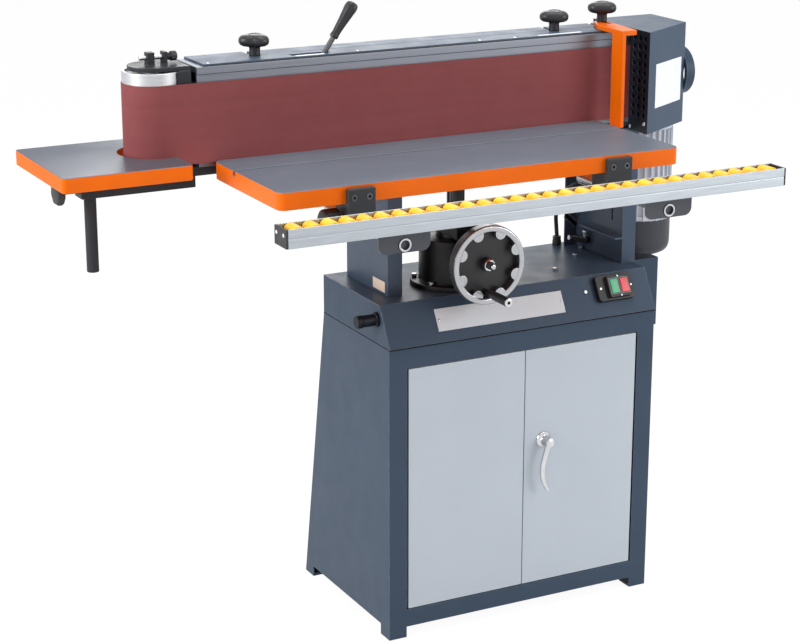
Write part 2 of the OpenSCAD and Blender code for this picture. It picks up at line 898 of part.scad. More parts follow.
module lobed_knob(x, z) translate([x, loop_y, z]) {
  translate([0, 0, -stud_l]) cylinder(d = stud_d, h = stud_l);
  cylinder(d = knob_neck_d, h = knob_neck_l);
  translate([0, 0, knob_neck_l]) linear_extrude(knob_h - knob_crown_h) knob_outline();
  translate([0, 0, knob_neck_l + knob_h - knob_crown_h]) cylinder(d = knob_lobe_d, h = knob_crown_h);
}

module left_cover_knob() color(black) lobed_knob(left_knob_x, cover_z1 + body_gap);
module right_cover_knob() color(black) lobed_knob(right_knob_x, cover_z1 + body_gap);
module stop_knob() color(black) lobed_knob(stop_knob_x, stop_z1 + stop_t + body_gap);

module stop_arm_plan() polygon([[stop_x, stop_front], [stop_x + stop_tip_w, stop_front],
  [stop_x + stop_w, stop_front + stop_tip_l], [stop_x + stop_w, stop_back],
  [stop_x + stop_taper_w, stop_back], [stop_x, stop_back - stop_taper_l]]);

module work_stop() color(orange) difference() {
  union() {
    prism_z(stop_z1, stop_z1 + stop_t) stop_arm_plan();
    block(stop_x, stop_x + stop_plate_t, stop_front, stop_plate_y, stop_z0, stop_z1 + stop_t);
  }
  block(stop_knob_x - stop_slot_w / 2, stop_knob_x + stop_slot_w / 2, loop_y - stop_travel - stop_slot_w / 2,
    loop_y + stop_slot_w / 2, stop_z1 - over, stop_z1 + stop_t + over);
}

// Tension lever, turned as one about its pivot
module leaning() translate([lever_x, lever_y, lever_z]) rotate([0, lever_lean, 0]) children();

module tension_lever() color(steel) difference() {
  union() {
    rod_y(2 * cam_r, lever_y - cam_w / 2, lever_y + cam_w / 2, lever_x - cam_e, lever_z);
    leaning() cylinder(d = lever_rod_d, h = lever_rod_l);
  }
  rod_y(lever_pin_d + 2 * run_gap, lever_y - cam_w, lever_y + cam_w, lever_x, lever_z);
}

module lever_grip() color(black) leaning() translate([0, 0, lever_rod_l]) {
  cylinder(d1 = grip_d0, d2 = grip_d1, h = grip_l - grip_d1 / 2);
  translate([0, 0, grip_l - grip_d1 / 2]) sphere(d = grip_d1);
}

// Idler end
module cheeks() difference() {
  block(idler_x, carriage_x1, beam_y0 + over, beam_y1 - over, cheek_z, carriage_z);
  rod_z(2 * (drum_r + cheek_gap), cheek_z - over, carriage_z + over, idler_x, loop_y);
}

module idler_carriage() color(black) difference() {
  union() {
    prism_z(carriage_z, carriage_z + carriage_t) {
      translate([idler_x, loop_y]) circle(carriage_r);
      translate([idler_x, loop_y - carriage_r]) square([carriage_x1 - idler_x, 2 * carriage_r]);
    }
    cheeks();
    block(carriage_x1 - over, guide_x1, lever_y - guide_w / 2, lever_y + guide_w / 2, lever_z - guide_h / 2,
      lever_z + guide_h / 2);
    rod_x(push_rod_d, guide_x1 - over, lever_x - cam_e - cam_r - cam_gap, lever_y, lever_z);
    for (place = [[track_x, track_w], [track_lug_x, track_lug_w]])
      block(place[0] - place[1] / 2, place[0] + place[1] / 2, loop_y - track_d / 2, loop_y + track_d / 2,
        carriage_z + carriage_t - over, carriage_z + carriage_t + track_h);
  }
  rod_x(track_screw_d + 2 * run_gap, track_x - track_w, track_end_x, loop_y,
    carriage_z + carriage_t + track_rise);
  rod_z(axle_d + 2 * run_gap, carriage_z - over, carriage_z + carriage_t / 2, idler_x, loop_y);
}

module idler_axle() color(steel) rod_z(axle_d, drum_z0 - over, carriage_z + carriage_t / 2, idler_x, loop_y);

module drum_shell(z0, z1, bore) difference() {
  union() {
    difference() {
      cylinder(r = drum_r, h = z1 - z0);
      translate([0, 0, -over]) cylinder(r = drum_r - drum_wall, h = z1 - z0 + 2 * over);
    }
    for (z = [drum_wall, z1 - z0 - 2 * drum_wall])
      translate([0, 0, z]) cylinder(r = drum_r - over, h = drum_wall);
    cylinder(d = 2 * bore, h = z1 - z0);
  }
  translate([0, 0, -over]) cylinder(d = bore + 2 * run_gap, h = z1 - z0 + 2 * over);
}

module idler_drum() color(steel) translate([idler_x, loop_y, drum_z0]) drum_shell(drum_z0, idler_z1, axle_d);

module tracking_screw() color(steel) {
  z = carriage_z + carriage_t + track_rise;
  rod_x(track_screw_d, track_x - track_w / 2 - track_tail, track_end_x, loop_y, z);
  rod_x(track_head_d, track_end_x - track_head_l, track_end_x, loop_y, z, $fn = 6);
}

// Dust hood and drive
function dust_front(x) = dust_y0 + (x - dust_x0) * tan(dust_angle);

module dust_plan(wall)
  polygon([[dust_x0 + wall, dust_front(dust_x0 + wall) + wall / cos(dust_angle)],
    [dust_x1 - wall, dust_front(dust_x1 - wall) + wall / cos(dust_angle)], [dust_x1 - wall, dust_y2 - wall],
    [dust_x0 + wall, dust_y2 - wall]]);

module dust_hood() color(slate) difference() {
  prism_z(dust_z0, dust_z1) dust_plan(0);
  prism_z(dust_z0 - over, dust_z1 - dust_wall) dust_plan(dust_wall);
  block(dust_x0 - over, dust_x0 + dust_wall + over, belt_y - dust_pass, dust_y2 - dust_wall, dust_z0 - over,
    dust_z1 - dust_wall);
  rod_x(port_d - 2 * port_wall, dust_x1 - dust_wall - over, dust_x1 + over, loop_y, port_z);
  for (row = [0 : hole_rows - 1], col = [0 : hole_cols - 1])
    rod_x(hole_d, dust_x0 - over, dust_x0 + dust_wall + over, dust_y0 + hole_start_y + col * hole_pitch_y,
      dust_z0 + hole_start_z + row * hole_pitch_z);
}

module dust_port() color(slate) difference() {
  union() {
    rod_x(port_d, dust_x1, dust_x1 + port_l, loop_y, port_z);
    rod_x(port_d + 2 * port_flange, dust_x1, dust_x1 + dust_wall, loop_y, port_z);
  }
  rod_x(port_d - 2 * port_wall, dust_x1 - over, dust_x1 + port_l + over, loop_y, port_z);
}

module motor_plate() color(iron) difference() {
  block(plate_x0, dust_x1 - dust_wall, plate_y0, dust_y2 - dust_wall, plate_z, beam_z0);
  rod_z(motor_shaft_d + 2 * over, plate_z - over, beam_z0 + over, drive_x, loop_y);
}

module motor_body() color(iron) difference() {
  union() {
    rod_z(2 * (motor_r - fin_h), motor_z0, plate_z, drive_x, loop_y);
    rod_z(2 * motor_r - fin_t, plate_z - motor_flange_t, plate_z, drive_x, loop_y);
    rod_z(2 * motor_r - fin_t, motor_z0, motor_z0 + motor_flange_t, drive_x, loop_y);
    for (i = [0 : fin_count - 1]) translate([drive_x, loop_y, 0]) rotate(i * 360 / fin_count)
      block(motor_r / 2, motor_r, -fin_t / 2, fin_t / 2, motor_z0, plate_z - motor_flange_t);
    block(terminal_x, terminal_x + terminal_w, loop_y + motor_r - fin_h * 2, loop_y + motor_r + terminal_d,
      terminal_z, terminal_z + terminal_h);
    rod_x(gland_d, terminal_x - gland_l, terminal_x, cable_y, cable_z);
  }
  rod_z(motor_shaft_d + 2 * run_gap, motor_z0 - over, plate_z + over, drive_x, loop_y);
}

module motor_fan_cover() color(black) difference() {
  rod_z(2 * motor_r, fan_cover_z, motor_z0, drive_x, loop_y);
  rod_z(2 * (motor_r - fan_cover_wall), fan_cover_z + fan_cover_wall, motor_z0 + over, drive_x, loop_y);
  for (i = [0 : grille_count - 1]) translate([drive_x, loop_y, 0]) rotate(i * 360 / grille_count)
    block(grille_r, grille_r + grille_slot_l, -grille_slot_w / 2, grille_slot_w / 2, fan_cover_z - over,
      fan_cover_z + fan_cover_wall + over);
}

module motor_shaft() color(steel) {
  rod_z(motor_shaft_d, fan_cover_z + fan_rise, shaft_top, drive_x, loop_y);
  rod_z(fan_d, fan_cover_z + fan_rise, fan_cover_z + fan_rise + fan_t, drive_x, loop_y);
}

module drive_drum() color(steel)
  translate([drive_x, loop_y, drum_z0]) drum_shell(drum_z0, drive_z1, motor_shaft_d);

// Cable between the terminal box and the hood
function unit(v) = v / norm(v);
function heading(i) = unit(cable_points[min(i + 1, len(cable_points) - 1)] - cable_points[max(i - 1, 0)]);
function ring(i) = let (t = heading(i), a = unit(cross(t, cable_side)), b = cross(t, a))
  [for (k = [0 : cable_sides - 1]) cable_points[i] + cable_d / 2 * (cos(k * 360 / cable_sides) * a
    + sin(k * 360 / cable_sides) * b)];

module motor_cable() color(black) {
  rings = len(cable_points);
  n = cable_sides;
  points = [for (i = [0 : rings - 1]) each ring(i)];
  sides = [for (i = [0 : rings - 2], k = [0 : n - 1])
    each [[i * n + k, i * n + (k + 1) % n, (i + 1) * n + k], [i * n + (k + 1) % n, (i + 1) * n + (k + 1) % n,
      (i + 1) * n + k]]];
  first = [[for (k = [n - 1 : -1 : 0]) k]];
  last = [[for (k = [0 : n - 1]) (rings - 1) * n + k]];
  polyhedron(points, concat(sides, first, last));
}

module cable_gland() color(black) {
  rod_z(deck_gland_d, deck_z, deck_z + deck_gland_h / 2, deck_gland[0], deck_gland[1], $fn = 6);
  rod_z(deck_gland_neck_d, deck_z, deck_z + deck_gland_h, deck_gland[0], deck_gland[1]);
}

// Lift
module lift_housing() color(black) difference() {
  union() {
    rod_z(2 * lift_flange_r, deck_z, deck_z + lift_flange_t, lift_x, lift_y);
    rod_z(2 * lift_body_r, deck_z, lift_top, lift_x, lift_y);
  }
  rod_z(ram_d + 2 * run_gap, deck_z + lift_floor_t, lift_top + over, lift_x, lift_y);
  rod_z(journal_d + 2 * run_gap, deck_z - over, deck_z + lift_floor_t + over, lift_x, lift_y);
  rod_y(wheel_shaft_d + 2 * run_gap, lift_y - lift_body_r - over, lift_y - ram_bore / 2, lift_x, wheel_z);
}

module hood_bolts() color(steel) {
  for (i = [0 : lift_bolt_count - 1]) let (a = (i + 0.5) * 360 / lift_bolt_count)
    rod_z(lift_bolt_d, deck_z + lift_flange_t, deck_z + lift_flange_t + lift_bolt_h,
      lift_x + lift_bolt_r * cos(a), lift_y + lift_bolt_r * sin(a), $fn = 6);
  for (place = deck_bolt_places)
    rod_z(deck_bolt_d, deck_z + post_t, deck_z + post_t + deck_bolt_h, place[0], place[1], $fn = 6);
}

module lift_ram() color(steel) difference() {
  rod_z(ram_d, ram_z0, ram_z1, lift_x, lift_y);
  rod_z(ram_bore, ram_z0 - over, ram_z1 - nut_h, lift_x, lift_y);
  rod_z(screw_d + 2 * run_gap, ram_z0, ram_z1 + over, lift_x, lift_y);
  block(lift_x - ram_slot_w / 2, lift_x + ram_slot_w / 2, lift_y - ram_d, lift_y, ram_z0 - over, ram_slot_z1);
}

module bevel(r) cylinder(r1 = r, r2 = r / 2, h = gear_r / 2);

module lift_screw() color(steel) {
  rod_z(journal_d, deck_z + over, wheel_z + gear_r, lift_x, lift_y);
  translate([lift_x, lift_y, wheel_z + gear_r]) mirror([0, 0, 1]) bevel(gear_r - gear_gap);
  rod_z(screw_d, wheel_z + gear_r, screw_top, lift_x, lift_y);
}

module wheel_shaft() color(steel) {
  rod_y(wheel_shaft_d, wheel_y - hub_l / 2, lift_y - gear_r, lift_x, wheel_z);
  translate([lift_x, lift_y - gear_r, wheel_z]) rotate([-90, 0, 0]) bevel(gear_r - gear_gap);
}

module on_wheel() translate([lift_x, wheel_y, wheel_z]) rotate([90, 0, 0]) children();

module handwheel_rim() color(steel) on_wheel() {
  rotate_extrude() rounded_plate(rim_in, wheel_d / 2, -rim_d / 2, rim_d / 2, rim_edge);
  for (i = [0 : lobe_count - 1]) rotate((i + 0.5) * 360 / lobe_count)
    translate([rim_in - over, 0, wheel_web_z]) cylinder(r = lobe_r, h = lobe_h);
}

module handwheel_web() color(black) on_wheel() difference() {
  union() {
    translate([0, 0, wheel_web_z - wheel_web_t]) cylinder(r = web_r, h = wheel_web_t);
    translate([0, 0, -hub_l / 2]) cylinder(r = hub_r, h = hub_l);
    translate([0, -spin_r, wheel_web_z - wheel_web_t])
      cylinder(d = spin_stud_d, h = wheel_web_t + spin_gap + spin_l);
  }
  translate([0, 0, -hub_l]) cylinder(d = wheel_shaft_d, h = 2 * hub_l);
}

module wheel_handle() color(steel) on_wheel() translate([0, -spin_r, wheel_web_z + spin_gap])
  difference() {
  union() {
    cylinder(d1 = spin_d * 2 / 3, d2 = spin_d, h = spin_l / 3);
    translate([0, 0, spin_l / 3]) cylinder(d = spin_d, h = spin_l * 2 / 3);
  }
  translate([0, 0, -over]) cylinder(d = spin_stud_d + 2 * run_gap, h = spin_l + 2 * over);
}

// Main table
module main_table() color(iron) difference() {
  prism_z(table_z0, table_z1) rounded_plate(table_x0, table_x1, table_front, table_back, table_corner_r);
  difference() {
    block(table_x0 + apron_t, table_x1 - apron_t, table_front + apron_t, table_back - apron_t,
      table_z0 - over, table_under);
    for (share = [1 / 4, 3 / 4])
      block(table_x0 + share * table_w - rib_t / 2, table_x0 + share * table_w + rib_t / 2, table_front,
        table_back, table_under - rib_drop, table_z1);
  }
  block(table_x0 - over, table_x1 + over, slot_y - slot_w / 2, slot_y + slot_w / 2,
    table_z1 - slot_h, table_z1 + over);
  block(table_x0 - over, table_x1 + over, slot_y - tee_w / 2, slot_y + tee_w / 2,
    table_z1 - slot_h - tee_h, table_z1 - slot_h);
}

module table_support() color(iron) {
  difference() {
    union() {
      rod_z(arm_ring_d, arm_z, arm_z + arm_h, lift_x, lift_y);
      block(stalk_x - stalk_w / 2, lift_x + arm_w / 2, stalk_y0, lift_y, arm_z, arm_z + arm_h);
    }
    rod_z(ram_d, arm_z - over, arm_z + arm_h + over, lift_x, lift_y);
  }
  block(stalk_x - stalk_w / 2, stalk_x + stalk_w / 2, stalk_y0, stalk_y0 + stalk_d, arm_z, table_under);
  block(lift_x - pad_w / 2, lift_x + pad_w / 2, stalk_y0 + stalk_d - pad_d, stalk_y0 + stalk_d,
    table_under - pad_t, table_under);
}

// Roller rail
module bracket_body(x) difference() {
  union() {
    block(x - bracket_w / 2, x + bracket_w / 2, bracket_y, table_front, tube_z - bracket_drop, bracket_top);
    block(x - bracket_boss_w / 2, x + bracket_boss_w / 2, table_front, table_front + bracket_boss_l,
      tube_z - bracket_drop, table_z0);
  }
  rod_y(rail_tube_d + 2 * run_gap, bracket_y - over, table_front + bracket_boss_l + over, x, tube_z);
  for (side = [-1, 1])
    rod_y(cap_screw_d, bracket_y - over, bracket_y + cap_screw_h,
      x + side * cap_screw_pitch / 2, bracket_top - cap_screw_drop);
}

module left_rail_bracket() color(black) difference() {
  bracket_body(tube_x[0]);
  rod_x(lock_stem_d + 2 * run_gap, tube_x[0] - bracket_w, tube_x[0], lock_y, tube_z);
}

module right_rail_bracket() color(black) bracket_body(tube_x[1]);

module bracket_screws() color(steel) for (x = tube_x, side = [-1, 1]) difference() {
  rod_y(cap_screw_d, bracket_y, bracket_y + cap_screw_h, x + side * cap_screw_pitch / 2,
    bracket_top - cap_screw_drop);
  rod_y(socket_d, bracket_y - over, bracket_y + socket_h, x + side * cap_screw_pitch / 2,
    bracket_top - cap_screw_drop, $fn = 6);
}

module rail_profile() color(pale) difference() {
  block(rail_x0, rail_x0 + rail_l, rail_y0, rail_y1, rail_z0, rail_z1);
  block(rail_x0 - over, rail_x0 + rail_l + over, rail_y0 + rail_wall, rail_y1 - rail_wall,
    rail_z0 + rail_floor, rail_z1 + over);
}

module rail_rollers() color(yellow) for (i = [0 : roller_count - 1]) {
  x = rail_x0 + roller_start + i * roller_pitch;
  mid = (rail_y0 + rail_y1) / 2;
  rod_y(roller_d, mid - roller_len / 2, mid + roller_len / 2, x, roller_z);
  rod_y(roller_axle_d, rail_y0 + rail_wall, rail_y1 - rail_wall, x, roller_z);
}

module rail_end_caps() color(black) for (x = [rail_x0 - cap_t, rail_x0 + rail_l])
  block(x, x + cap_t, rail_y0, rail_y1, rail_z0, rail_z1);

module rail_tubes() color(steel) for (x = tube_x) difference() {
  rod_y(rail_tube_d, tube_y0, tube_y0 + rail_tube_l, x, tube_z);
  rod_y(rail_tube_d - 2 * tube_wall, tube_y0 - over, tube_y0 + rail_tube_l + over, x, tube_z);
}

module rail_carriers() color(black) for (x = tube_x) difference() {
  prism_y(rail_y1, rail_y1 + carrier_t)
    rounded_plate(x - carrier_w / 2, x + carrier_w / 2, tube_z - carrier_drop, rail_z0 + carrier_r,
      carrier_r);
  rod_y(rail_tube_d + 2 * run_gap, rail_y1 - over, rail_y1 + carrier_t + over, x, tube_z);
}

module rail_lock_knob() color(black) {
  side_x = tube_x[0] - bracket_w / 2;
  rod_x(lock_stem_d, side_x - lock_stem_l, tube_x[0] - rail_tube_d / 2 - body_gap, lock_y, tube_z);
  rod_x(lock_d, side_x - lock_stem_l - lock_l, side_x - lock_stem_l, lock_y, tube_z);
}

// End table
module notch(r) {
  translate([idler_x, loop_y]) circle(r);
  translate([idler_x, loop_y - r]) square([end_x1 - idler_x + over, 2 * r]);
}

module end_table_top() color(iron) difference() {
  prism_z(end_z0, end_z1) rounded_plate(end_x0, end_x1, end_y0, end_y0 + end_d, end_corner_r);
  difference() {
    block(end_x0 + apron_t, end_x1 - apron_t, end_y0 + apron_t, end_y0 + end_d - apron_t,
      end_z0 - over, end_under);
    prism_z(end_z0 - 2 * over, end_z1) notch(notch_r + notch_rim);
  }
  prism_z(end_z0 - over, end_z1 + over) notch(notch_r);
}

module end_table_post() color(black) {
  rod_z(end_post_d, end_under - end_post_l, end_under, end_post_x, loop_y);
  rod_z(post_foot_d, end_under - post_foot_t, end_under, end_post_x, loop_y);
}

module end_arm() color(black) difference() {
  union() {
    block(arm_beam_x0, arm_beam_x1, loop_y - arm_beam_w / 2, loop_y + arm_beam_w / 2,
      arm_top - arm_beam_h, arm_top);
    block(arm_beam_x1 - spacer_in, beam_x0 + spacer_grip, loop_y - spacer_d / 2, loop_y + spacer_d / 2,
      arm_top - over, beam_z0);
  }
  rod_z(end_post_d + 2 * run_gap, arm_top - arm_beam_h - over, arm_top + over, end_post_x, loop_y);
  rod_x(clamp_stem_d + 2 * run_gap, arm_beam_x0 - over, end_post_x, loop_y, arm_top - arm_beam_h / 2);
}

module end_clamp_knob() color(black) {
  z = arm_top - arm_beam_h / 2;
  rod_x(clamp_stem_d, arm_beam_x0 - clamp_reach, end_post_x - end_post_d / 2 - body_gap, loop_y, z);
  rod_x(clamp_d, arm_beam_x0 - clamp_reach - clamp_t, arm_beam_x0 - clamp_reach, loop_y, z);
}

cabinet();
hood();
control_box();
switch_box();
side_peg();
left_post();
right_post();
beam();
platen();
beam_cover();
sanding_belt();
dust_hood();
dust_port();
motor_plate();
motor_body();
motor_fan_cover();
motor_cable();
cable_gland();
lift_housing();
end_arm();
door_hinge_pins();
hood_bolts();
main_table();
table_support();
lift_ram();
left_rail_bracket();
right_rail_bracket();
bracket_screws();
rail_profile();
rail_rollers();
rail_end_caps();
rail_tubes();
rail_carriers();
rail_lock_knob();
handwheel_rim();
handwheel_web();
wheel_shaft();
wheel_handle();
lift_screw();
end_table_top();
end_table_post();
end_clamp_knob();
drive_drum();
motor_shaft();
idler_carriage();
idler_axle();
idler_drum();
tracking_screw();
tension_lever();
lever_grip();
left_cover_knob();
right_cover_knob();
stop_knob();
work_stop();
left_door();
right_door();
door_handle();
start_button();
stop_button();
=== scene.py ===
import json
import math

import bpy
from mathutils import Matrix, Vector

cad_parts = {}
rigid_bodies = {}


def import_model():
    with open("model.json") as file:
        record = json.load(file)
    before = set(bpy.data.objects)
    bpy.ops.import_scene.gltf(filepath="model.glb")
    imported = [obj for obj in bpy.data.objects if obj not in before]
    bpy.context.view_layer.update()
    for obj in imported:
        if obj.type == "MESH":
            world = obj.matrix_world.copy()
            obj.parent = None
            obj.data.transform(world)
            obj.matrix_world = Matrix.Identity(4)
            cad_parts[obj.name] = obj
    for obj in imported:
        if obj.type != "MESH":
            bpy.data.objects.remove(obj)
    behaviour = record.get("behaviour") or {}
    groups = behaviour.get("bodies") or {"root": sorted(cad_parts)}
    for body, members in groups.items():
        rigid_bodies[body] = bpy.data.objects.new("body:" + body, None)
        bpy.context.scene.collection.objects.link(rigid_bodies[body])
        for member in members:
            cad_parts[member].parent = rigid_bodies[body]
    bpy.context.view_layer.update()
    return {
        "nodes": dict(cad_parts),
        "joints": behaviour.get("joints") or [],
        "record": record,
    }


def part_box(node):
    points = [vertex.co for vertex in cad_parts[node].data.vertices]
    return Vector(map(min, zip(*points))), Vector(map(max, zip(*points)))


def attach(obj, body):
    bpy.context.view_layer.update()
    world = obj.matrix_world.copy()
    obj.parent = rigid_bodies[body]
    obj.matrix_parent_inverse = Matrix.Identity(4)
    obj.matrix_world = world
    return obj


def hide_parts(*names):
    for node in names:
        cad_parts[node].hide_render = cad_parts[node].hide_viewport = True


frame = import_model()
MM = 0.001
MERGE_M = 2e-6
SMOOTH_BELOW, SHARP_ABOVE, FLAT_BELOW = (math.radians(angle) for angle in (38, 40, 0.4))
BODY_OF = {n: b for b, nodes in frame["record"]["behaviour"]["bodies"].items() for n in nodes}
SLOT_OF = {s["node"]: s["material_slot"] for s in frame["record"]["subparts"]}
JOINT = {j["name"]: j for j in frame["joints"]}


def joint_at(name):
    return Vector(JOINT[name]["pos_m"]) / MM


def box_mm(node):
    low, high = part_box(node)
    return low / MM, high / MM


# Places that the pieces share, in millimetres
HOOD_LOW, HOOD_HIGH = box_mm("hood")
LIP_Y, SEAM_Z, DECK_Z = HOOD_LOW.y, HOOD_LOW.z, HOOD_HIGH.z
PRESS = JOINT["start_press"]["axis"]
SLOPE = math.atan2(PRESS[1], -PRESS[2])
IDLER, DRIVE = joint_at("idler_spin"), joint_at("drive_spin")
LOOP_Y = IDLER.y
WHEEL = joint_at("wheel_turn")
SPIN_GRIP = joint_at("grip_spin")
LATCH = joint_at("latch_turn")
LEVER = joint_at("lever_throw")
LEVER_LEAN = math.radians(35)
TABLE_SLOT_Y = -217
DUST_LOW, DUST_HIGH = box_mm("dust_hood")
DUST_TURN = math.radians(30)


# Working with one piece at a time


def only(piece):
    bpy.ops.object.select_all(action="DESELECT")
    piece.select_set(True)
    bpy.context.view_layer.objects.active = piece


def place_in_mesh(piece):
    only(piece)
    bpy.ops.object.transform_apply(location=True, rotation=True, scale=True)


def settle(piece, name, body, finish, slot, *stands_for):
    """Names a finished piece, gives it its finish and lets it ride on its CAD body."""
    place_in_mesh(piece)
    bpy.ops.object.shade_smooth_by_angle(angle=SMOOTH_BELOW)
    even = piece.modifiers.new("even_light", "WEIGHTED_NORMAL")
    even.keep_sharp = True
    bpy.ops.object.modifier_apply(modifier=even.name)
    piece.name = name
    piece.data.name = name
    piece.data.materials.clear()
    piece.data.materials.append(finish)
    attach(piece, body)
    if stands_for:
        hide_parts(*stands_for)
    return piece


def stand_for(piece, node, finish):
    return settle(piece, node + "_piece", BODY_OF[node], finish, SLOT_OF[node], node)


def round_edges(piece, width, segments=2):
    only(piece)
    edge = piece.modifiers.new("edge", "BEVEL")
    edge.width = width
    edge.segments = segments
    edge.limit_method = "ANGLE"
    edge.angle_limit = SHARP_ABOVE
    edge.use_clamp_overlap = False
    bpy.ops.object.modifier_apply(modifier=edge.name)


def merged_copy(node):
    """A copy of a CAD solid as one closed mesh of flat faces."""
    only(frame["nodes"][node])
    bpy.ops.object.duplicate()
    piece = bpy.context.object
    bpy.ops.object.parent_clear(type="CLEAR")
    for key in list(piece.keys()):
        del piece[key]
    bpy.ops.object.mode_set(mode="EDIT")
    bpy.ops.mesh.select_all(action="SELECT")
    bpy.ops.mesh.remove_doubles(threshold=MERGE_M)
    bpy.ops.mesh.dissolve_limited(angle_limit=FLAT_BELOW)
    bpy.ops.object.mode_set(mode="OBJECT")
    return piece


def dress(node, finish, width_mm=0.8, segments=2):
    piece = merged_copy(node)
    if width_mm:
        round_edges(piece, width_mm * MM, segments)
    return stand_for(piece, node, finish)


def turned(profile, sides=48):
    """A solid of revolution about Z, raised ring by ring from (radius, height) pairs in millimetres."""
    bpy.ops.object.select_all(action="DESELECT")
    radius, height = profile[0]
    bpy.ops.mesh.primitive_circle_add(vertices=sides, radius=radius * MM, fill_type="NGON")
    piece = bpy.context.object
    piece.location.z = height * MM
    place_in_mesh(piece)
    bpy.ops.object.mode_set(mode="EDIT")
    bpy.ops.mesh.select_all(action="SELECT")
    for r, h in profile[1:]:
        bpy.ops.mesh.extrude_region_move(TRANSFORM_OT_translate={"value": (0, 0, (h - height) * MM)})
        bpy.ops.transform.resize(value=(r / radius, r / radius, 1), center_override=(0, 0, h * MM))
        radius, height = r, h
    bpy.ops.mesh.select_all(action="SELECT")
    bpy.ops.mesh.normals_make_consistent(inside=False)
    bpy.ops.object.mode_set(mode="OBJECT")
    return piece


def slab(low, high, width, segments=3):
    """A block between two corners in millimetres, with rounded edges."""
    bpy.ops.object.select_all(action="DESELECT")
    low, high = Vector(low) * MM, Vector(high) * MM
    bpy.ops.mesh.primitive_cube_add(size=1, location=(low + high) / 2)
    piece = bpy.context.object
    piece.scale = high - low
    place_in_mesh(piece)
    bpy.ops.object.mode_set(mode="EDIT")
    bpy.ops.mesh.select_all(action="SELECT")
    bpy.ops.mesh.bevel(offset=width * MM, segments=segments, affect="EDGES")
    bpy.ops.object.mode_set(mode="OBJECT")
    return piece


def aim(piece, at, axis=(0, 0, 1)):
    """Turns a piece made about Z to another axis and moves it to a place in millimetres."""
    turn = Vector((0, 0, 1)).rotation_difference(Vector(axis)).to_matrix().to_4x4()
    piece.data.transform(Matrix.Translation(Vector(at) * MM) @ turn)
    return piece


def flute(piece, count, depth, from_mm, to_mm):
    """Presses lobes or flutes into the side of a turned piece between two heights."""
    for v in piece.data.vertices:
        if from_mm * MM <= v.co.z <= to_mm * MM:
            swell = 1 + depth * math.cos(count * math.atan2(v.co.y, v.co.x))
            v.co.x *= swell
            v.co.y *= swell


def copy_to(piece, offset):
    twin = piece.copy()
    twin.data = piece.data.copy()
    twin.data.transform(Matrix.Translation(Vector(offset) * MM))
    bpy.context.collection.objects.link(twin)
    return twin


def joined(pieces):
    only(pieces[0])
    for piece in pieces[1:]:
        piece.select_set(True)
    bpy.ops.object.join()
    return bpy.context.object


def cut(piece, other):
    """Takes a second shape, which is used up, out of a piece."""
    only(piece)
    step = piece.modifiers.new("cut", "BOOLEAN")
    step.operation = "DIFFERENCE"
    step.object = other
    step.solver = "EXACT"
    bpy.ops.object.modifier_apply(modifier=step.name)
    bpy.data.objects.remove(other)


def round_path(name, radius_mm, resolution):
    """A curve with a round section, for bent rods and cables."""
    path = bpy.data.curves.new(name, "CURVE")
    path.dimensions = "3D"
    path.bevel_depth = radius_mm * MM
    path.bevel_resolution = resolution
    path.use_fill_caps = True
    return path


def solid_path(path):
    piece = bpy.data.objects.new(path.name, path)
    bpy.context.collection.objects.link(piece)
    only(piece)
    bpy.ops.object.convert(target="MESH")
    return bpy.context.object


def hex_head(d, h):
    """A six-sided bolt head with a chamfered crown, on its round washer face."""
    face = turned([(d * 0.48, 0), (d * 0.48, h * 0.14)], 32)
    head = turned([(d * 0.56, h * 0.14), (d * 0.56, h * 0.82), (d * 0.46, h), (d * 0.2, h * 1.01)], 6)
    round_edges(head, d * 0.02 * MM)
    return joined([face, head])


# Finishes


def srgb(r, g, b):
    def linear(c):
        c /= 255
        return c / 12.92 if c <= 0.04045 else ((c + 0.055) / 1.055) ** 2.4

    return (linear(r), linear(g), linear(b), 1)


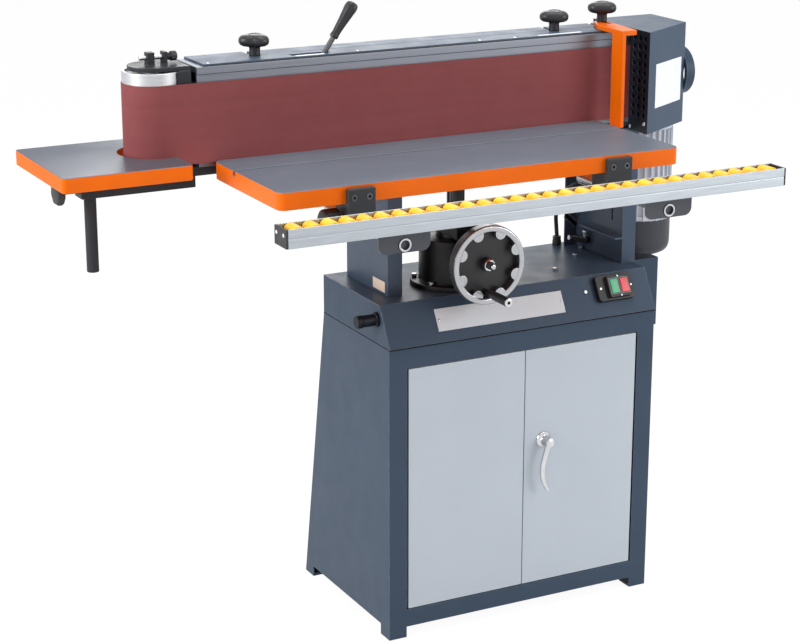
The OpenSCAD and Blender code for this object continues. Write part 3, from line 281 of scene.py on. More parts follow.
class Finish:
    """One material with its node tree, its shader and its object coordinates."""

    def __init__(self, name):
        self.material = bpy.data.materials.new(name)
        self.material.use_nodes = True
        self.tree = self.material.node_tree
        self.shader = self.tree.nodes["Principled BSDF"]
        self.place = self.tree.nodes.new("ShaderNodeTexCoord").outputs["Object"]
        self.bump = None

    def node(self, kind, **values):
        made = self.tree.nodes.new("ShaderNode" + kind)
        for key, value in values.items():
            setattr(made, key, value)
        return made

    def link(self, a, b):
        self.tree.links.new(a, b)

    def mapped(self, scale=(1, 1, 1), location=(0, 0, 0)):
        made = self.node("Mapping")
        made.inputs["Scale"].default_value = scale
        made.inputs["Location"].default_value = location
        self.link(self.place, made.inputs["Vector"])
        return made.outputs["Vector"]

    def noise(self, scale, detail=3.0, stretch=None):
        made = self.node("TexNoise")
        made.inputs["Scale"].default_value = scale
        made.inputs["Detail"].default_value = detail
        self.link(self.mapped(stretch) if stretch else self.place, made.inputs["Vector"])
        return made.outputs["Fac"]

    def spread(self, value, low, high, start=0.3, end=0.7):
        made = self.node("MapRange")
        for key, number in (("From Min", start), ("From Max", end), ("To Min", low), ("To Max", high)):
            made.inputs[key].default_value = number
        self.link(value, made.inputs["Value"])
        return made.outputs["Result"]

    def mixed(self, factor, a, b):
        made = self.node("Mix", data_type="RGBA")
        self.link(factor, made.inputs["Factor"])
        for socket, value in ((made.inputs[6], a), (made.inputs[7], b)):
            if hasattr(value, "is_output"):
                self.link(value, socket)
            else:
                socket.default_value = value
        return made.outputs[2]

    def colour(self, value):
        self.link(value, self.shader.inputs["Base Color"])

    def roughness(self, value, low, high):
        self.link(self.spread(value, low, high), self.shader.inputs["Roughness"])

    def relief(self, height, strength, distance_mm):
        made = self.node("Bump")
        made.inputs["Strength"].default_value = strength
        made.inputs["Distance"].default_value = distance_mm * MM
        self.link(height, made.inputs["Height"])
        if self.bump:
            self.link(self.bump, made.inputs["Normal"])
        self.bump = made.outputs["Normal"]
        self.link(self.bump, self.shader.inputs["Normal"])

    def edges(self, radius_mm, noise_scale=60):
        """1 along sharp edges, broken up by noise, 0 on flats."""
        soft = self.node("Bevel", samples=4)
        soft.inputs["Radius"].default_value = radius_mm * MM
        flat = self.node("NewGeometry")
        dot = self.node("VectorMath", operation="DOT_PRODUCT")
        self.link(soft.outputs["Normal"], dot.inputs[0])
        self.link(flat.outputs["Normal"], dot.inputs[1])
        found = self.spread(dot.outputs["Value"], 1.0, 0.0, 0.9, 0.985)
        broken = self.spread(self.noise(noise_scale), 0.15, 1.0)
        both = self.node("Math", operation="MULTIPLY")
        self.link(found, both.inputs[0])
        self.link(broken, both.inputs[1])
        return both.outputs["Value"]


def shade(colour, factor):
    return (colour[0] * factor, colour[1] * factor, colour[2] * factor, 1)


def enamel(name, colour, rough=(0.26, 0.36), edge_wear_and_highlight=0.3, specular=0.25, cloudy=0.05, edge_mm=1.6):
    """Sprayed enamel: slight orange peel, faint cloudiness, lighter along its edges, partly from wear and
    partly as a painted highlight.
    """
    f = Finish(name)
    cloud = f.mixed(f.spread(f.noise(7), 0, 1), shade(colour, 1 - cloudy), shade(colour, 1 + cloudy))
    # Paler colour along sharp edges: partly wear, partly a painted highlight of the light that the edges
    # catch.
    worn_and_highlit_edges = f.spread(f.edges(edge_mm), 0, edge_wear_and_highlight, 0, 1)
    wear_and_highlight_colour = [c + 0.4 * (0.6 - c) for c in colour[:3]] + [1]
    f.colour(f.mixed(worn_and_highlit_edges, cloud, wear_and_highlight_colour))
    f.roughness(f.noise(22), *rough)
    f.relief(f.noise(420, 2), 0.03, 0.05)
    f.shader.inputs["Specular IOR Level"].default_value = specular
    return f.material


def dust_hood_sheet_with_shade(name, colour):
    """Enamelled sheet, darkened on its -X side as painted shade."""
    f = Finish(name)
    facing = f.node("SeparateXYZ")
    f.link(f.node("NewGeometry").outputs["Normal"], facing.inputs["Vector"])
    # Faces turned to -X are mixed towards a near-black copy of the colour: painted shade.
    painted_shade_side = f.spread(facing.outputs["X"], 1, 0, -0.95, -0.7)
    cloud = f.mixed(f.spread(f.noise(7), 0, 1), shade(colour, 0.96), shade(colour, 1.04))
    f.colour(f.mixed(painted_shade_side, cloud, shade(colour, 0.22)))
    f.roughness(f.noise(22), 0.34, 0.44)
    f.relief(f.noise(420, 2), 0.03, 0.05)
    f.shader.inputs["Specular IOR Level"].default_value = 0.14
    return f.material


def moulded(name, colour, rough=(0.42, 0.6), grain=0.25, cloudy=0.16, specular=0.5):
    """Moulded plastic with a fine spark grain."""
    f = Finish(name)
    f.colour(f.mixed(f.spread(f.noise(30), 0, 1), shade(colour, 1 - cloudy), shade(colour, 1 + cloudy)))
    f.shader.inputs["Specular IOR Level"].default_value = specular
    f.roughness(f.noise(45), *rough)
    f.relief(f.noise(1500, 2), grain, 0.08)
    return f.material


def metal(name, colour, rough=(0.22, 0.36), stretch=(60, 60, 900), scale=1.0, relief=0.06):
    """Bare metal with fine lines across one direction."""
    f = Finish(name)
    lines = f.noise(scale, 4, stretch)
    f.colour(f.mixed(f.spread(lines, 0, 1), shade(colour, 0.88), shade(colour, 1.06)))
    f.roughness(f.noise(scale, 3, stretch), *rough)
    f.relief(lines, relief, 0.05)
    f.shader.inputs["Metallic"].default_value = 1.0
    return f.material


def chromed(name, bright=0.7, rough=(0.08, 0.16)):
    f = Finish(name)
    dull, clean = [bright * c for c in (0.88, 0.89, 0.92)] + [1], [bright * c for c in (1, 1.01, 1.03)] + [1]
    f.colour(f.mixed(f.spread(f.noise(40), 0, 1), dull, clean))
    f.roughness(f.noise(70), *rough)
    f.relief(f.noise(260, 2), 0.02, 0.05)
    f.shader.inputs["Metallic"].default_value = 1.0
    return f.material


def wheel_rim_finish(name, centre):
    """Satin black rim whose face towards the operator is turned bright."""
    f = Finish(name)
    facing = f.node("SeparateXYZ")
    f.link(f.node("NewGeometry").outputs["Normal"], facing.inputs["Vector"])
    face = f.spread(facing.outputs["Y"], 1, 0, -0.8, -0.5)
    turned_lines = f.node("TexWave", wave_type="RINGS", rings_direction="Y")
    turned_lines.inputs["Scale"].default_value = 420
    turned_lines.inputs["Distortion"].default_value = 2
    f.link(f.mapped(location=-centre * MM), turned_lines.inputs["Vector"])
    bright = f.mixed(turned_lines.outputs["Fac"], (0.4, 0.41, 0.43, 1), (0.5, 0.51, 0.53, 1))
    f.colour(f.mixed(face, srgb(50, 51, 54), bright))
    f.link(face, f.shader.inputs["Metallic"])
    f.roughness(f.noise(60), 0.22, 0.34)
    f.relief(turned_lines.outputs["Fac"], 0.04, 0.03)
    return f.material


def cast(name, colour, rough=(0.45, 0.62), specular=0.5):
    """Painted casting with the sand's texture under the paint."""
    f = Finish(name)
    f.shader.inputs["Specular IOR Level"].default_value = specular
    f.colour(f.mixed(f.spread(f.noise(18), 0, 1), shade(colour, 0.88), shade(colour, 1.1)))
    f.roughness(f.noise(35), *rough)
    f.relief(f.noise(240, 4), 0.3, 0.25)
    return f.material


def table_finish(name, node, edge_colour, steel, centre=None, slot_y=None):
    """Orange enamel on the casting and a ground top face, its lines along X or round a centre."""
    f = Finish(name)
    top_mm, slot_half, slot_deep = box_mm(node)[1].z, 5, 12
    paint_from, paint_to = top_mm - 0.7, top_mm - 1.3
    axis = f.node("SeparateXYZ")
    f.link(f.place, axis.inputs["Vector"])
    top = f.spread(axis.outputs["Z"], 0, 1, paint_to * MM, paint_from * MM)
    if slot_y is not None:
        across = f.node("Math", operation="COMPARE")
        f.link(axis.outputs["Y"], across.inputs[0])
        across.inputs[1].default_value = slot_y * MM
        across.inputs[2].default_value = slot_half * MM
        floor_mm = top_mm - slot_deep
        deep = f.spread(axis.outputs["Z"], 0, 1, floor_mm * MM, (floor_mm + 1) * MM)
        milled = f.node("Math", operation="MULTIPLY")
        f.link(across.outputs["Value"], milled.inputs[0])
        f.link(deep, milled.inputs[1])
        bare = f.node("Math", operation="MAXIMUM")
        f.link(top, bare.inputs[0])
        f.link(milled.outputs["Value"], bare.inputs[1])
        top = bare.outputs["Value"]
    if centre:
        rings = f.node("TexWave", wave_type="RINGS", rings_direction="Z")
        rings.inputs["Scale"].default_value = 220
        rings.inputs["Distortion"].default_value = 3
        rings.inputs["Detail"].default_value = 3
        outward = f.mapped(location=-centre * MM)
        f.link(outward, rings.inputs["Vector"])
        lines = rings.outputs["Fac"]
        round_about = f.node("VectorMath", operation="CROSS_PRODUCT")
        round_about.inputs[0].default_value = (0, 0, 1)
        f.link(outward, round_about.inputs[1])
        f.link(round_about.outputs["Vector"], f.shader.inputs["Tangent"])
        f.shader.inputs["Anisotropic"].default_value = 0.85
    else:
        lines = f.noise(1.0, 4, (14, 700, 14))
    ground = f.mixed(f.spread(lines, 0, 1), shade(steel, 0.86), shade(steel, 1.12))
    stained = f.mixed(f.spread(f.noise(9, 5), 0, 0.35), ground, shade(steel, 0.72))
    paint = f.mixed(f.spread(f.noise(12), 0, 1), shade(edge_colour, 0.93), shade(edge_colour, 1.05))
    f.colour(f.mixed(top, paint, stained))
    f.link(f.spread(top, 0, 0.45 if centre else 0.2, 0, 1), f.shader.inputs["Metallic"])
    polish = f.spread(lines, 0.34, 0.44) if centre else f.spread(lines, 0.4, 0.5)
    rough = f.node("Mix")
    f.link(top, rough.inputs["Factor"])
    rough.inputs["A"].default_value = 0.36
    f.link(polish, rough.inputs["B"])
    f.link(rough.outputs["Result"], f.shader.inputs["Roughness"])
    f.shader.inputs["Specular IOR Level"].default_value = 0.18
    f.relief(lines, 0.05, 0.03)
    return f.material


def grit(name, colour):
    """Coated abrasive: close mineral grain with faint streaks along the belt."""
    f = Finish(name)
    streak = f.mixed(f.spread(f.noise(1, 3, (2, 2, 90)), 0, 1), shade(colour, 0.95), shade(colour, 1.04))
    grain = f.noise(2600, 2)
    f.colour(f.mixed(f.spread(grain, 0, 0.55), streak, shade(colour, 0.45)))
    f.roughness(f.noise(30), 0.72, 0.88)
    f.relief(grain, 0.6, 0.25)
    f.shader.inputs["Specular IOR Level"].default_value = 0.3
    return f.material


SLATE_COLOUR = srgb(58, 72, 89)
# The dust hood's -X face carries painted shade.
DUST_HOOD_SHADED_SHEET = dust_hood_sheet_with_shade("dust_hood_enamel", srgb(64, 79, 97))
# Near-black felt: the hood seal, and painted shade in the flange slot, in the cover groove and behind the
# dust hood's holes.
SEAL_BLACK_AND_SHADE = moulded("seal_felt_and_painted_shade", srgb(10, 12, 15), (0.8, 0.9), 0.3, 0.1, 0.1)
# The strongly lightened edges of the slate, post and hood enamels are mostly a painted highlight.
SLATE = enamel("slate_enamel", SLATE_COLOUR, (0.32, 0.42), 0.9, 0.14)
# A lighter copy of the slate for the posts: painted light, because the posts stand in more light.
POST_LIT_SLATE = enamel("post_enamel_painted_light", srgb(64, 78, 96), (0.28, 0.38), 0.9, 0.2)
HOOD = enamel("hood_enamel", SLATE_COLOUR, (0.36, 0.46), 1.0, 0.12, 0.04, 2.6)
COVER = enamel("cover_enamel", srgb(74, 87, 105), (0.42, 0.52), 0.3, 0.18, 0.02)
DOOR = enamel("door_enamel", srgb(177, 185, 194), (0.38, 0.48), 0.1, 0.2, 0.015)
ORANGE_COLOUR = srgb(226, 100, 0)
ORANGE = enamel("orange_enamel", ORANGE_COLOUR, (0.3, 0.42), 0.12, 0.18)
BLACK_ENAMEL = enamel("black_enamel", srgb(46, 47, 51), (0.34, 0.48), 0.2, 0.18)
CARRIER = enamel("carrier_enamel", srgb(74, 76, 83), (0.4, 0.52), 0.15)
BRACKET = enamel("bracket_enamel", srgb(52, 53, 56), (0.4, 0.52), 0.15, 0.2)
FAN_COVER = enamel("fan_cover_enamel", srgb(58, 60, 67), (0.36, 0.46), 0.2)
BLACK = moulded("black_plastic", srgb(36, 36, 39))
PEG = moulded("peg_plastic", srgb(10, 17, 25), (0.36, 0.5), 0.1, 0.1, 0.2)
SWITCH = moulded("switch_plastic", srgb(22, 22, 25), (0.3, 0.42), 0.1, 0.1, 0.3)
BLACK_GLOSS = moulded("gloss_black_plastic", srgb(34, 34, 37), (0.32, 0.44), 0.1, 0.1, 0.4)
STEEL = metal("turned_steel", (0.5, 0.51, 0.53, 1))
BRIGHT_STEEL = metal("drawn_steel", (0.56, 0.57, 0.59, 1), (0.18, 0.3), (900, 40, 900))
DRUM = metal("drum_steel", (0.56, 0.57, 0.59, 1), (0.36, 0.46), (40, 40, 900))
DARK_STEEL = metal("oiled_steel", (0.12, 0.12, 0.13, 1), (0.3, 0.42))
RAIL = metal("anodised_rail", (0.43, 0.465, 0.5, 1), (0.38, 0.5), (20, 900, 900), 1.0, 0.04)
BEAM = metal("milled_beam", (0.2, 0.213, 0.245, 1), (0.4, 0.55), (12, 400, 400))
CHROME = chromed("chrome_plate")
WHEEL_RIM = wheel_rim_finish("wheel_rim_finish", WHEEL)
GREY_CAST = cast("grey_casting", srgb(182, 188, 198))
DARK_CAST = cast("dark_casting", srgb(12, 13, 15), (0.38, 0.52), 0.3)
MAIN_TOP = table_finish("main_table_finish", "main_table", ORANGE_COLOUR, (0.15, 0.172, 0.21, 1),
                        slot_y=TABLE_SLOT_Y)
END_TOP = table_finish("end_table_finish", "end_table_top", ORANGE_COLOUR, (0.135, 0.147, 0.178, 1), IDLER)
BELT = grit("abrasive_cloth", srgb(140, 72, 74))
YELLOW = moulded("yellow_roller", srgb(252, 190, 40), (0.35, 0.5), 0.1)
GREEN = moulded("start_green", srgb(58, 160, 112), (0.22, 0.34), 0.06)
RED = moulded("stop_red", srgb(216, 66, 72), (0.22, 0.34), 0.06)
RUBBER = moulded("cable_rubber", srgb(32, 32, 34), (0.55, 0.7), 0.2)
PLATE = moulded("blank_name_plate", srgb(196, 200, 205), (0.4, 0.48), 0.04, 0.015, 0.3)
PAPER = moulded("blank_label", srgb(228, 231, 235), (0.5, 0.6), 0.05, 0.012, 0.3)
CREAM_PAPER = moulded("cream_label", srgb(226, 208, 190), (0.5, 0.6), 0.05, 0.015, 0.3)
BARE_SHEET = metal("bare_sheet", (0.3, 0.31, 0.33, 1), (0.4, 0.5))
BEZEL = moulded("switch_bezel", srgb(116, 118, 122), (0.3, 0.42), 0.06, 0.05)


def on_slope(piece, x, s, out=0.0):
    """Lays a piece made on the XY plane onto the hood's slope."""
    lay = Matrix.Translation(Vector((x, LIP_Y, SEAM_Z)) * MM) @ Matrix.Rotation(SLOPE, 4, "X")
    piece.data.transform(lay @ Matrix.Translation(Vector((0, s, out)) * MM))
    return piece


# Stand


def dress_stand():
    dress("cabinet", SLATE, 1.0)
    dress("hood", HOOD, 0.8)
    dress("control_box", SLATE, 1.5)
    dress("left_post", POST_LIT_SLATE, 0.8)
    dress("right_post", POST_LIT_SLATE, 0.8)
    dress("left_door", DOOR, 0.6)
    dress("right_door", DOOR, 0.6)
    dress("side_peg", PEG, 1.5, 3)
    dress("lift_housing", DARK_CAST, 2.0, 3)
    dress("end_arm", BLACK_ENAMEL, 1.5)
    dress("motor_plate", SLATE, 1.0)
    dress("motor_body", GREY_CAST, 0.5)
    dress("cable_gland", BLACK, 0.5)
    dress("hood_bolts", STEEL, 0.9)


def make_fan_cover():
    low, high = box_mm("motor_fan_cover")
    r = (high.x - low.x) / 2
    wall = 3.0
    curve = [(24, 0), (15, 1.6), (8, 5.2), (3.2, 11), (0.8, 18), (0, 26)]
    shell = turned([(1, low.z)] + [(r - a, low.z + h) for a, h in curve] + [(r, high.z)], 96)
    hollow = turned([(1, low.z + wall)] + [(r - wall - a, low.z + wall + h) for a, h in curve]
                    + [(r - wall, high.z + 2)], 96)
    cut(shell, hollow)
    slot_count, slot_from, slot_to, slot_half = 16, 12, 34, 2.2
    slots = []
    for i in range(slot_count):
        slot = slab((slot_from, -slot_half, low.z - wall), (slot_to, slot_half, low.z + 2 * wall), 1.2, 2)
        slot.data.transform(Matrix.Rotation(math.radians(360 / slot_count * i), 4, "Z"))
        slots.append(slot)
    cut(shell, joined(slots))
    aim(shell, (DRIVE.x, LOOP_Y, 0))
    stand_for(shell, "motor_fan_cover", FAN_COVER)


def make_name_plate():
    half_w, half_h, x, s, thick, rivet_inset = 146.5, 23, -49, 46.5, 1.4, 5
    plate = on_slope(slab((-half_w, -half_h, 0), (half_w, half_h, thick), 0.5, 2), x, s)
    settle(plate, "name_plate", "stand", PLATE, "door_paint")
    for side in (-1, 1):
        pin = turned([(2.6, 0), (2.6, 0.5), (1.8, 1.1), (0.4, 1.3)], 20)
        on_slope(pin, x + side * (half_w - rivet_inset), s, thick)
        settle(pin, "plate_rivet", "stand", STEEL, "steel")


def make_switch():
    dress("switch_box", SWITCH, 1.2, 3)
    for node, finish in (("start_button", GREEN), ("stop_button", RED)):
        dress(node, finish, 1.6, 3)
    middle, half_w, half_l, rim, plate_top, guard_top = 59, 9.8, 15.8, 1.5, 12, 20
    keys = [sum(c.x for c in box_mm(node)) / 2 for node in ("start_button", "stop_button")]
    for x in keys:
        ring = slab((-half_w - rim, -half_l - rim, guard_top - 0.2),
                    (half_w + rim, half_l + rim, guard_top + 1), 0.4, 2)
        cut(ring, slab((-half_w, -half_l, guard_top - 2), (half_w, half_l, guard_top + 3), 0.3, 1))
        settle(on_slope(ring, x, middle), "button_bezel", "stand", BEZEL, "black_plastic")
    low, high = box_mm("switch_box")
    between, screw_gap = sum(keys) / 2, 20.5
    for x, s, out, r in ((low.x + 8, middle, plate_top, 3.2), (high.x - 7, middle, plate_top, 2.6),
                         (between, middle + screw_gap, guard_top, 2.2),
                         (between, middle - screw_gap, guard_top, 2.2)):
        screw = turned([(r, 0), (r, 0.5), (r * 0.76, 1.4), (r * 0.3, 1.7)], 24)
        settle(on_slope(screw, x, s, out), "switch_screw", "stand", STEEL, "steel")


def make_hood_fittings():
    proud, half = 0.25, 0.9
    seal = slab((HOOD_LOW.x - proud, LIP_Y - proud, SEAM_Z - half),
                (HOOD_HIGH.x + proud, HOOD_HIGH.y, SEAM_Z + half), 0.1, 1)
    settle(seal, "hood_seal", "stand", SEAL_BLACK_AND_SHADE, "cable_black")
    deck_bolts = (132, -95), (228, -19)
    for x, y in deck_bolts:
        settle(aim(hex_head(10, 5), (x, y, DECK_Z)), "deck_bolt", "stand", STEEL, "steel")
    slope_x, slope_s = 154, 59
    pin = turned([(4.5, 0), (4.5, 1.2), (3.4, 3), (1.2, 3.6)], 28)
    settle(on_slope(pin, slope_x, slope_s), "slope_bolt", "stand", STEEL, "steel")
    side, label_y, label_rise = box_mm("left_post")[0].x, (-103, -50), (5, 27)
    label = slab((side - 0.5, label_y[0], DECK_Z + label_rise[0]), (side, label_y[1], DECK_Z + label_rise[1]),
                 0.15, 1)
    settle(label, "post_label", "stand", CREAM_PAPER, "door_paint")


def make_post_clamp():
    """The bolted clamp beside the right post and the curved slot in the post's rear flange."""
    flange, slot_lean, slot_half = Vector((268.5, 65.6, 757)), math.radians(42), 19
    # A bare-metal strip with a near-black strip on it: the black is painted shade inside the slot.
    for width, out, finish in ((14, 0, BARE_SHEET), (9, 0.4, SEAL_BLACK_AND_SHADE)):
        strip = slab((-slot_half, -out - 0.6, -width / 2), (slot_half, 0, width / 2), 0.15, 1)
        strip.data.transform(Matrix.Translation(flange * MM) @ Matrix.Rotation(slot_lean, 4, "Y"))
        settle(strip, "flange_slot", "stand", finish, "cable_black")
    bar_at, bar_turn = Vector((267, 23, 724.5)), math.radians(-62)
    bar = slab((-20, -6, -6.5), (20, 6, 6.5), 2.5, 3)
    bar.data.transform(Matrix.Translation(bar_at * MM) @ Matrix.Rotation(bar_turn, 4, "Z"))
    settle(bar, "clamp_bar", "stand", SWITCH, "black_paint")
    stud_at, bolt_at, foot_at = (272, 14, 730), Vector((252.5, 40, 725)), (274, 33, DECK_Z)
    stud = turned([(3.5, 0), (3.5, 8), (5, 9), (5.4, 12), (4.4, 15), (1, 16)], 28)
    settle(aim(stud, stud_at), "clamp_stud", "stand", STEEL, "steel")
    bolt = aim(hex_head(11, 5), bolt_at + Vector((0.1, 0, 0)), (-1, 0, 0))
    settle(bolt, "clamp_bolt", "stand", STEEL, "steel")
    neck = turned([(4, 0), (4, 9)], 24)
    settle(aim(neck, bolt_at, (1, 0, 0)), "clamp_neck", "stand", SWITCH, "black_paint")
    settle(aim(hex_head(10, 5), foot_at), "clamp_foot", "stand", STEEL, "steel")


def make_door_handle():
    rose = turned([(17, 0.3), (17, 1.6), (15.5, 3.6), (11.5, 6), (9.4, 10), (8.8, 18), (9.6, 24), (9.2, 28),
                   (6, 29.6), (1, 30)], 40)
    aim(rose, LATCH, (0, -1, 0))
    path = round_path("lever", 6.2, 5)
    line = path.splines.new("NURBS")
    stand_off = 22.5
    points = [(0, 0, 1), (0, 0, 1), (-5, -17, 0.98), (-12, -39, 0.95), (-15, -59, 0.9), (-13, -78, 0.85),
              (-7, -93, 0.8), (-1, -102.5, 0.7), (0, -103.5, 0.6)]
    line.points.add(len(points) - 1)
    for p, (x, z, r) in zip(line.points, points):
        p.co = (*((LATCH + Vector((x, -stand_off, z))) * MM), 1)
        p.radius = r
    line.use_endpoint_u = True
    line.order_u = 4
    line.resolution_u = 6
    lever = solid_path(path)
    shaft = aim(turned([(6, -19.6), (6, 1)], 28), LATCH, (0, -1, 0))
    tongue = slab(LATCH + Vector((-7, 16.6, -50)), LATCH + Vector((7, 19.6, 7)), 0.8, 2)
    stand_for(joined([rose, lever, shaft, tongue]), "door_handle", CHROME)


# Belt and beam


def dress_belt_unit():
    dress("beam", BEAM, 1.0)
    dress("platen", STEEL, 0.4)
    dress("sanding_belt", BELT, 0)
    dress("idler_drum", DRUM, 1.2, 3)
    dress("drive_drum", DRUM, 1.2, 3)
    dress("idler_carriage", BLACK_ENAMEL, 1.2, 3)
    dress("tension_lever", DARK_STEEL, 0.6)
    dress("dust_port", SLATE, 0.6)
    dress("work_stop", ORANGE, 1.4, 3)


def make_beam_cover():
    low, high = box_mm("beam_cover")
    cover = merged_copy("beam_cover")
    groove_y, groove_x, groove_deep = LOOP_Y + 3, -440, 1.2
    groove = slab((groove_x, groove_y - 1, high.z - groove_deep), (high.x + 2, groove_y + 1, high.z + 2),
                  0.2, 1)
    cut(cover, groove)
    round_edges(cover, 0.5 * MM)
    stand_for(cover, "beam_cover", COVER)
    # Near-black strips laid in the cover's groove: painted shade in the groove.
    groove_shade_runs = (groove_x, 124), (152, 216)
    for x0, x1 in groove_shade_runs:
        joint = slab((x0, groove_y - 0.9, high.z - 1.1), (x1, groove_y + 0.9, high.z - 0.2), 0.1, 1)
        settle(joint, "cover_groove_painted_shade", "stand", SEAL_BLACK_AND_SHADE, "cable_black")
    gasket = slab((low.x - 1.5, low.y - 1.2, low.z), (high.x - 1, low.y + 2, low.z + 2.2), 0.4, 2)
    settle(gasket, "cover_gasket", "stand", BLACK, "black_plastic")
    screws_x, screw_inset = (low.x + 9, -327, -60, 20), 5
    for x in screws_x:
        screw = turned([(3.4, 0), (3.4, 0.5), (2.6, 1.5), (0.8, 1.9)], 20)
        settle(aim(screw, (x, low.y + screw_inset, high.z)), "cover_screw", "stand", STEEL, "steel")
    label_runs = (-455, -396), (75, 175)
    for x0, x1 in label_runs:
        strip = slab((x0, low.y + 1.5, high.z), (x1, low.y + 11, high.z + 0.4), 0.12, 1)
        settle(strip, "cover_label", "stand", PAPER, "door_paint")


def make_tracking_screw():
    low, high = box_mm("tracking_screw")
    at = joint_at("tracking_turn")
    head_l, nut_gap = 12, 7
    rod = turned([(3.4, 0), (4.6, 1.4), (4.6, high.x - low.x - head_l + 1)], 28)
    aim(rod, (low.x, at.y, at.z), (1, 0, 0))
    stand_for(rod, "tracking_screw", STEEL)
    head = turned([(7.6, 0), (8.8, 1), (8.8, head_l - 1.6), (7.4, head_l), (1, head_l)], 80)
    flute(head, 20, 0.04, 0.5, head_l - 1)
    aim(head, (high.x - head_l, at.y, at.z), (1, 0, 0))
    settle(head, "tracking_head", "tracking", BLACK_GLOSS, "black_plastic")
    nut = aim(hex_head(14, 6), (high.x - head_l - nut_gap, at.y, at.z), (1, 0, 0))
    settle(nut, "tracking_nut", "tracking", BLACK_ENAMEL, "black_paint")


def make_lever_grip():
    grip = turned([(5.4, 86), (7.6, 86.4), (8.4, 88.5), (8.4, 92), (7.7, 95), (8, 104), (9.3, 122),
                   (11.2, 140), (12.3, 150), (12.2, 156), (10.6, 160.5), (7, 162.7), (1, 163)], 60)
    flute(grip, 5, 0.05, 97, 158)
    aim(grip, LEVER, (math.sin(LEVER_LEAN), 0, math.cos(LEVER_LEAN)))
    stand_for(grip, "lever_grip", BLACK_GLOSS)


def scoop(piece, turn, depth, from_mm, to_mm):
    """Presses three finger hollows into the head of a turned knob."""
    for v in piece.data.vertices:
        if from_mm * MM <= v.co.z <= to_mm * MM:
            lobe = 0.5 + 0.5 * math.cos(3 * (math.atan2(v.co.y, v.co.x) - turn))
            swell = 1 - depth * (1 - lobe) ** 1.3
            v.co.x *= swell
            v.co.y *= swell


def make_top_knobs():
    lobes_at, knob_h = math.radians(55), 40
    for node, joint in (("left_cover_knob", "left_knob_turn"), ("right_cover_knob", "right_knob_turn"),
                        ("stop_knob", "stop_knob_turn")):
        low, high = box_mm(node)
        foot = high.z - knob_h
        knob = turned([(4, low.z - foot), (4, 0), (10.4, 0), (10.8, 0.8), (10.5, 3), (10.4, 13), (11, 15.4),
                       (13.5, 16.8), (18, 17.4), (23.5, 18.6), (27.8, 20.8), (30.2, 24), (31, 28), (30.4, 32),
                       (28, 35.6), (24, 38.2), (19, 39.5), (13, knob_h), (11.6, 39), (1, 38.8)], 96)
        scoop(knob, lobes_at, 0.24, 16.5, knob_h + 0.2)
        aim(knob, (joint_at(joint).x, LOOP_Y, foot))
        stand_for(knob, node, BLACK_GLOSS)


def make_dust_hood():
    dress("dust_hood", DUST_HOOD_SHADED_SHEET, 0.6)
    # A near-black sheet behind the perforated side, so that its holes read dark: painted shade inside the
    # hood.
    shade_sheet_back, shade_sheet_rise, shade_sheet_drop = -125, 26, 6
    hood_shade_sheet = slab((DUST_LOW.x + 2.6, DUST_LOW.y + 4, DUST_LOW.z + shade_sheet_rise),
                 (DUST_LOW.x + 3.4, shade_sheet_back, DUST_HIGH.z - shade_sheet_drop), 0.1, 1)
    settle(hood_shade_sheet, "dust_hood_painted_shade", "stand", SEAL_BLACK_AND_SHADE, "cable_black")
    lay = Matrix.Translation(Vector((DUST_LOW.x, DUST_LOW.y, 0)) * MM) @ Matrix.Rotation(DUST_TURN, 4, "Z")
    label_along, label_z = (32, 150), (1038, 1128)
    label = slab((label_along[0], -0.5, label_z[0]), (label_along[1], 0, label_z[1]), 0.15, 1)
    label.data.transform(lay)
    settle(label, "dust_label", "stand", PAPER, "door_paint")
    screws_yz = (-126, 996), (-178, 1009)
    for y, z in screws_yz:
        screw = turned([(4.4, 0), (4.4, 0.8), (3.4, 2.2), (1, 2.8)], 24)
        settle(aim(screw, (DUST_LOW.x, y, z), (-1, 0, 0)), "dust_screw", "stand", STEEL, "steel")


def make_motor_cable():
    start = Vector((318, 22, 850))
    steps = [(0, 0, 0), (-18, 0, 0), (-38, 0, 0), (-56, 2, -2), (-70, 8, -8), (-80, 20, -20), (-84, 34, -38),
             (-84, 46, -60), (-81, 54, -84), (-77, 58, -108), (-75, 58, -129)]
    path = round_path("cable", 4.5, 4)
    line = path.splines.new("POLY")
    line.points.add(len(steps) - 1)
    for p, step in zip(line.points, steps):
        p.co = (*((start + Vector(step)) * MM), 1)
    line.type = "BEZIER"
    for p in line.bezier_points:
        p.handle_left_type = p.handle_right_type = "AUTO"
    line.resolution_u = 6
    stand_for(solid_path(path), "motor_cable", RUBBER)


# Main table, lift and rail


def dress_table():
    dress("main_table", MAIN_TOP, 1.4, 3)
    dress("table_support", DARK_CAST, 2.0, 3)
    dress("lift_ram", DARK_STEEL, 0.8)
    dress("left_rail_bracket", BRACKET, 2.0, 3)
    dress("right_rail_bracket", BRACKET, 2.0, 3)
    dress("bracket_screws", DARK_STEEL, 0.4)
    dress("lift_screw", DARK_STEEL, 0.5)
    dress("wheel_shaft", STEEL, 0.5)
    dress("end_table_top", END_TOP, 1.4, 3)
    dress("end_table_post", BLACK_ENAMEL, 0.8)


def on_wheel(piece, out=0.0):
    """Turns a piece made about Z towards the operator and sets it on the hub's face."""
    hub_half = 11
    return aim(piece, (WHEEL.x, WHEEL.y - hub_half - out, WHEEL.z), (0, -1, 0))


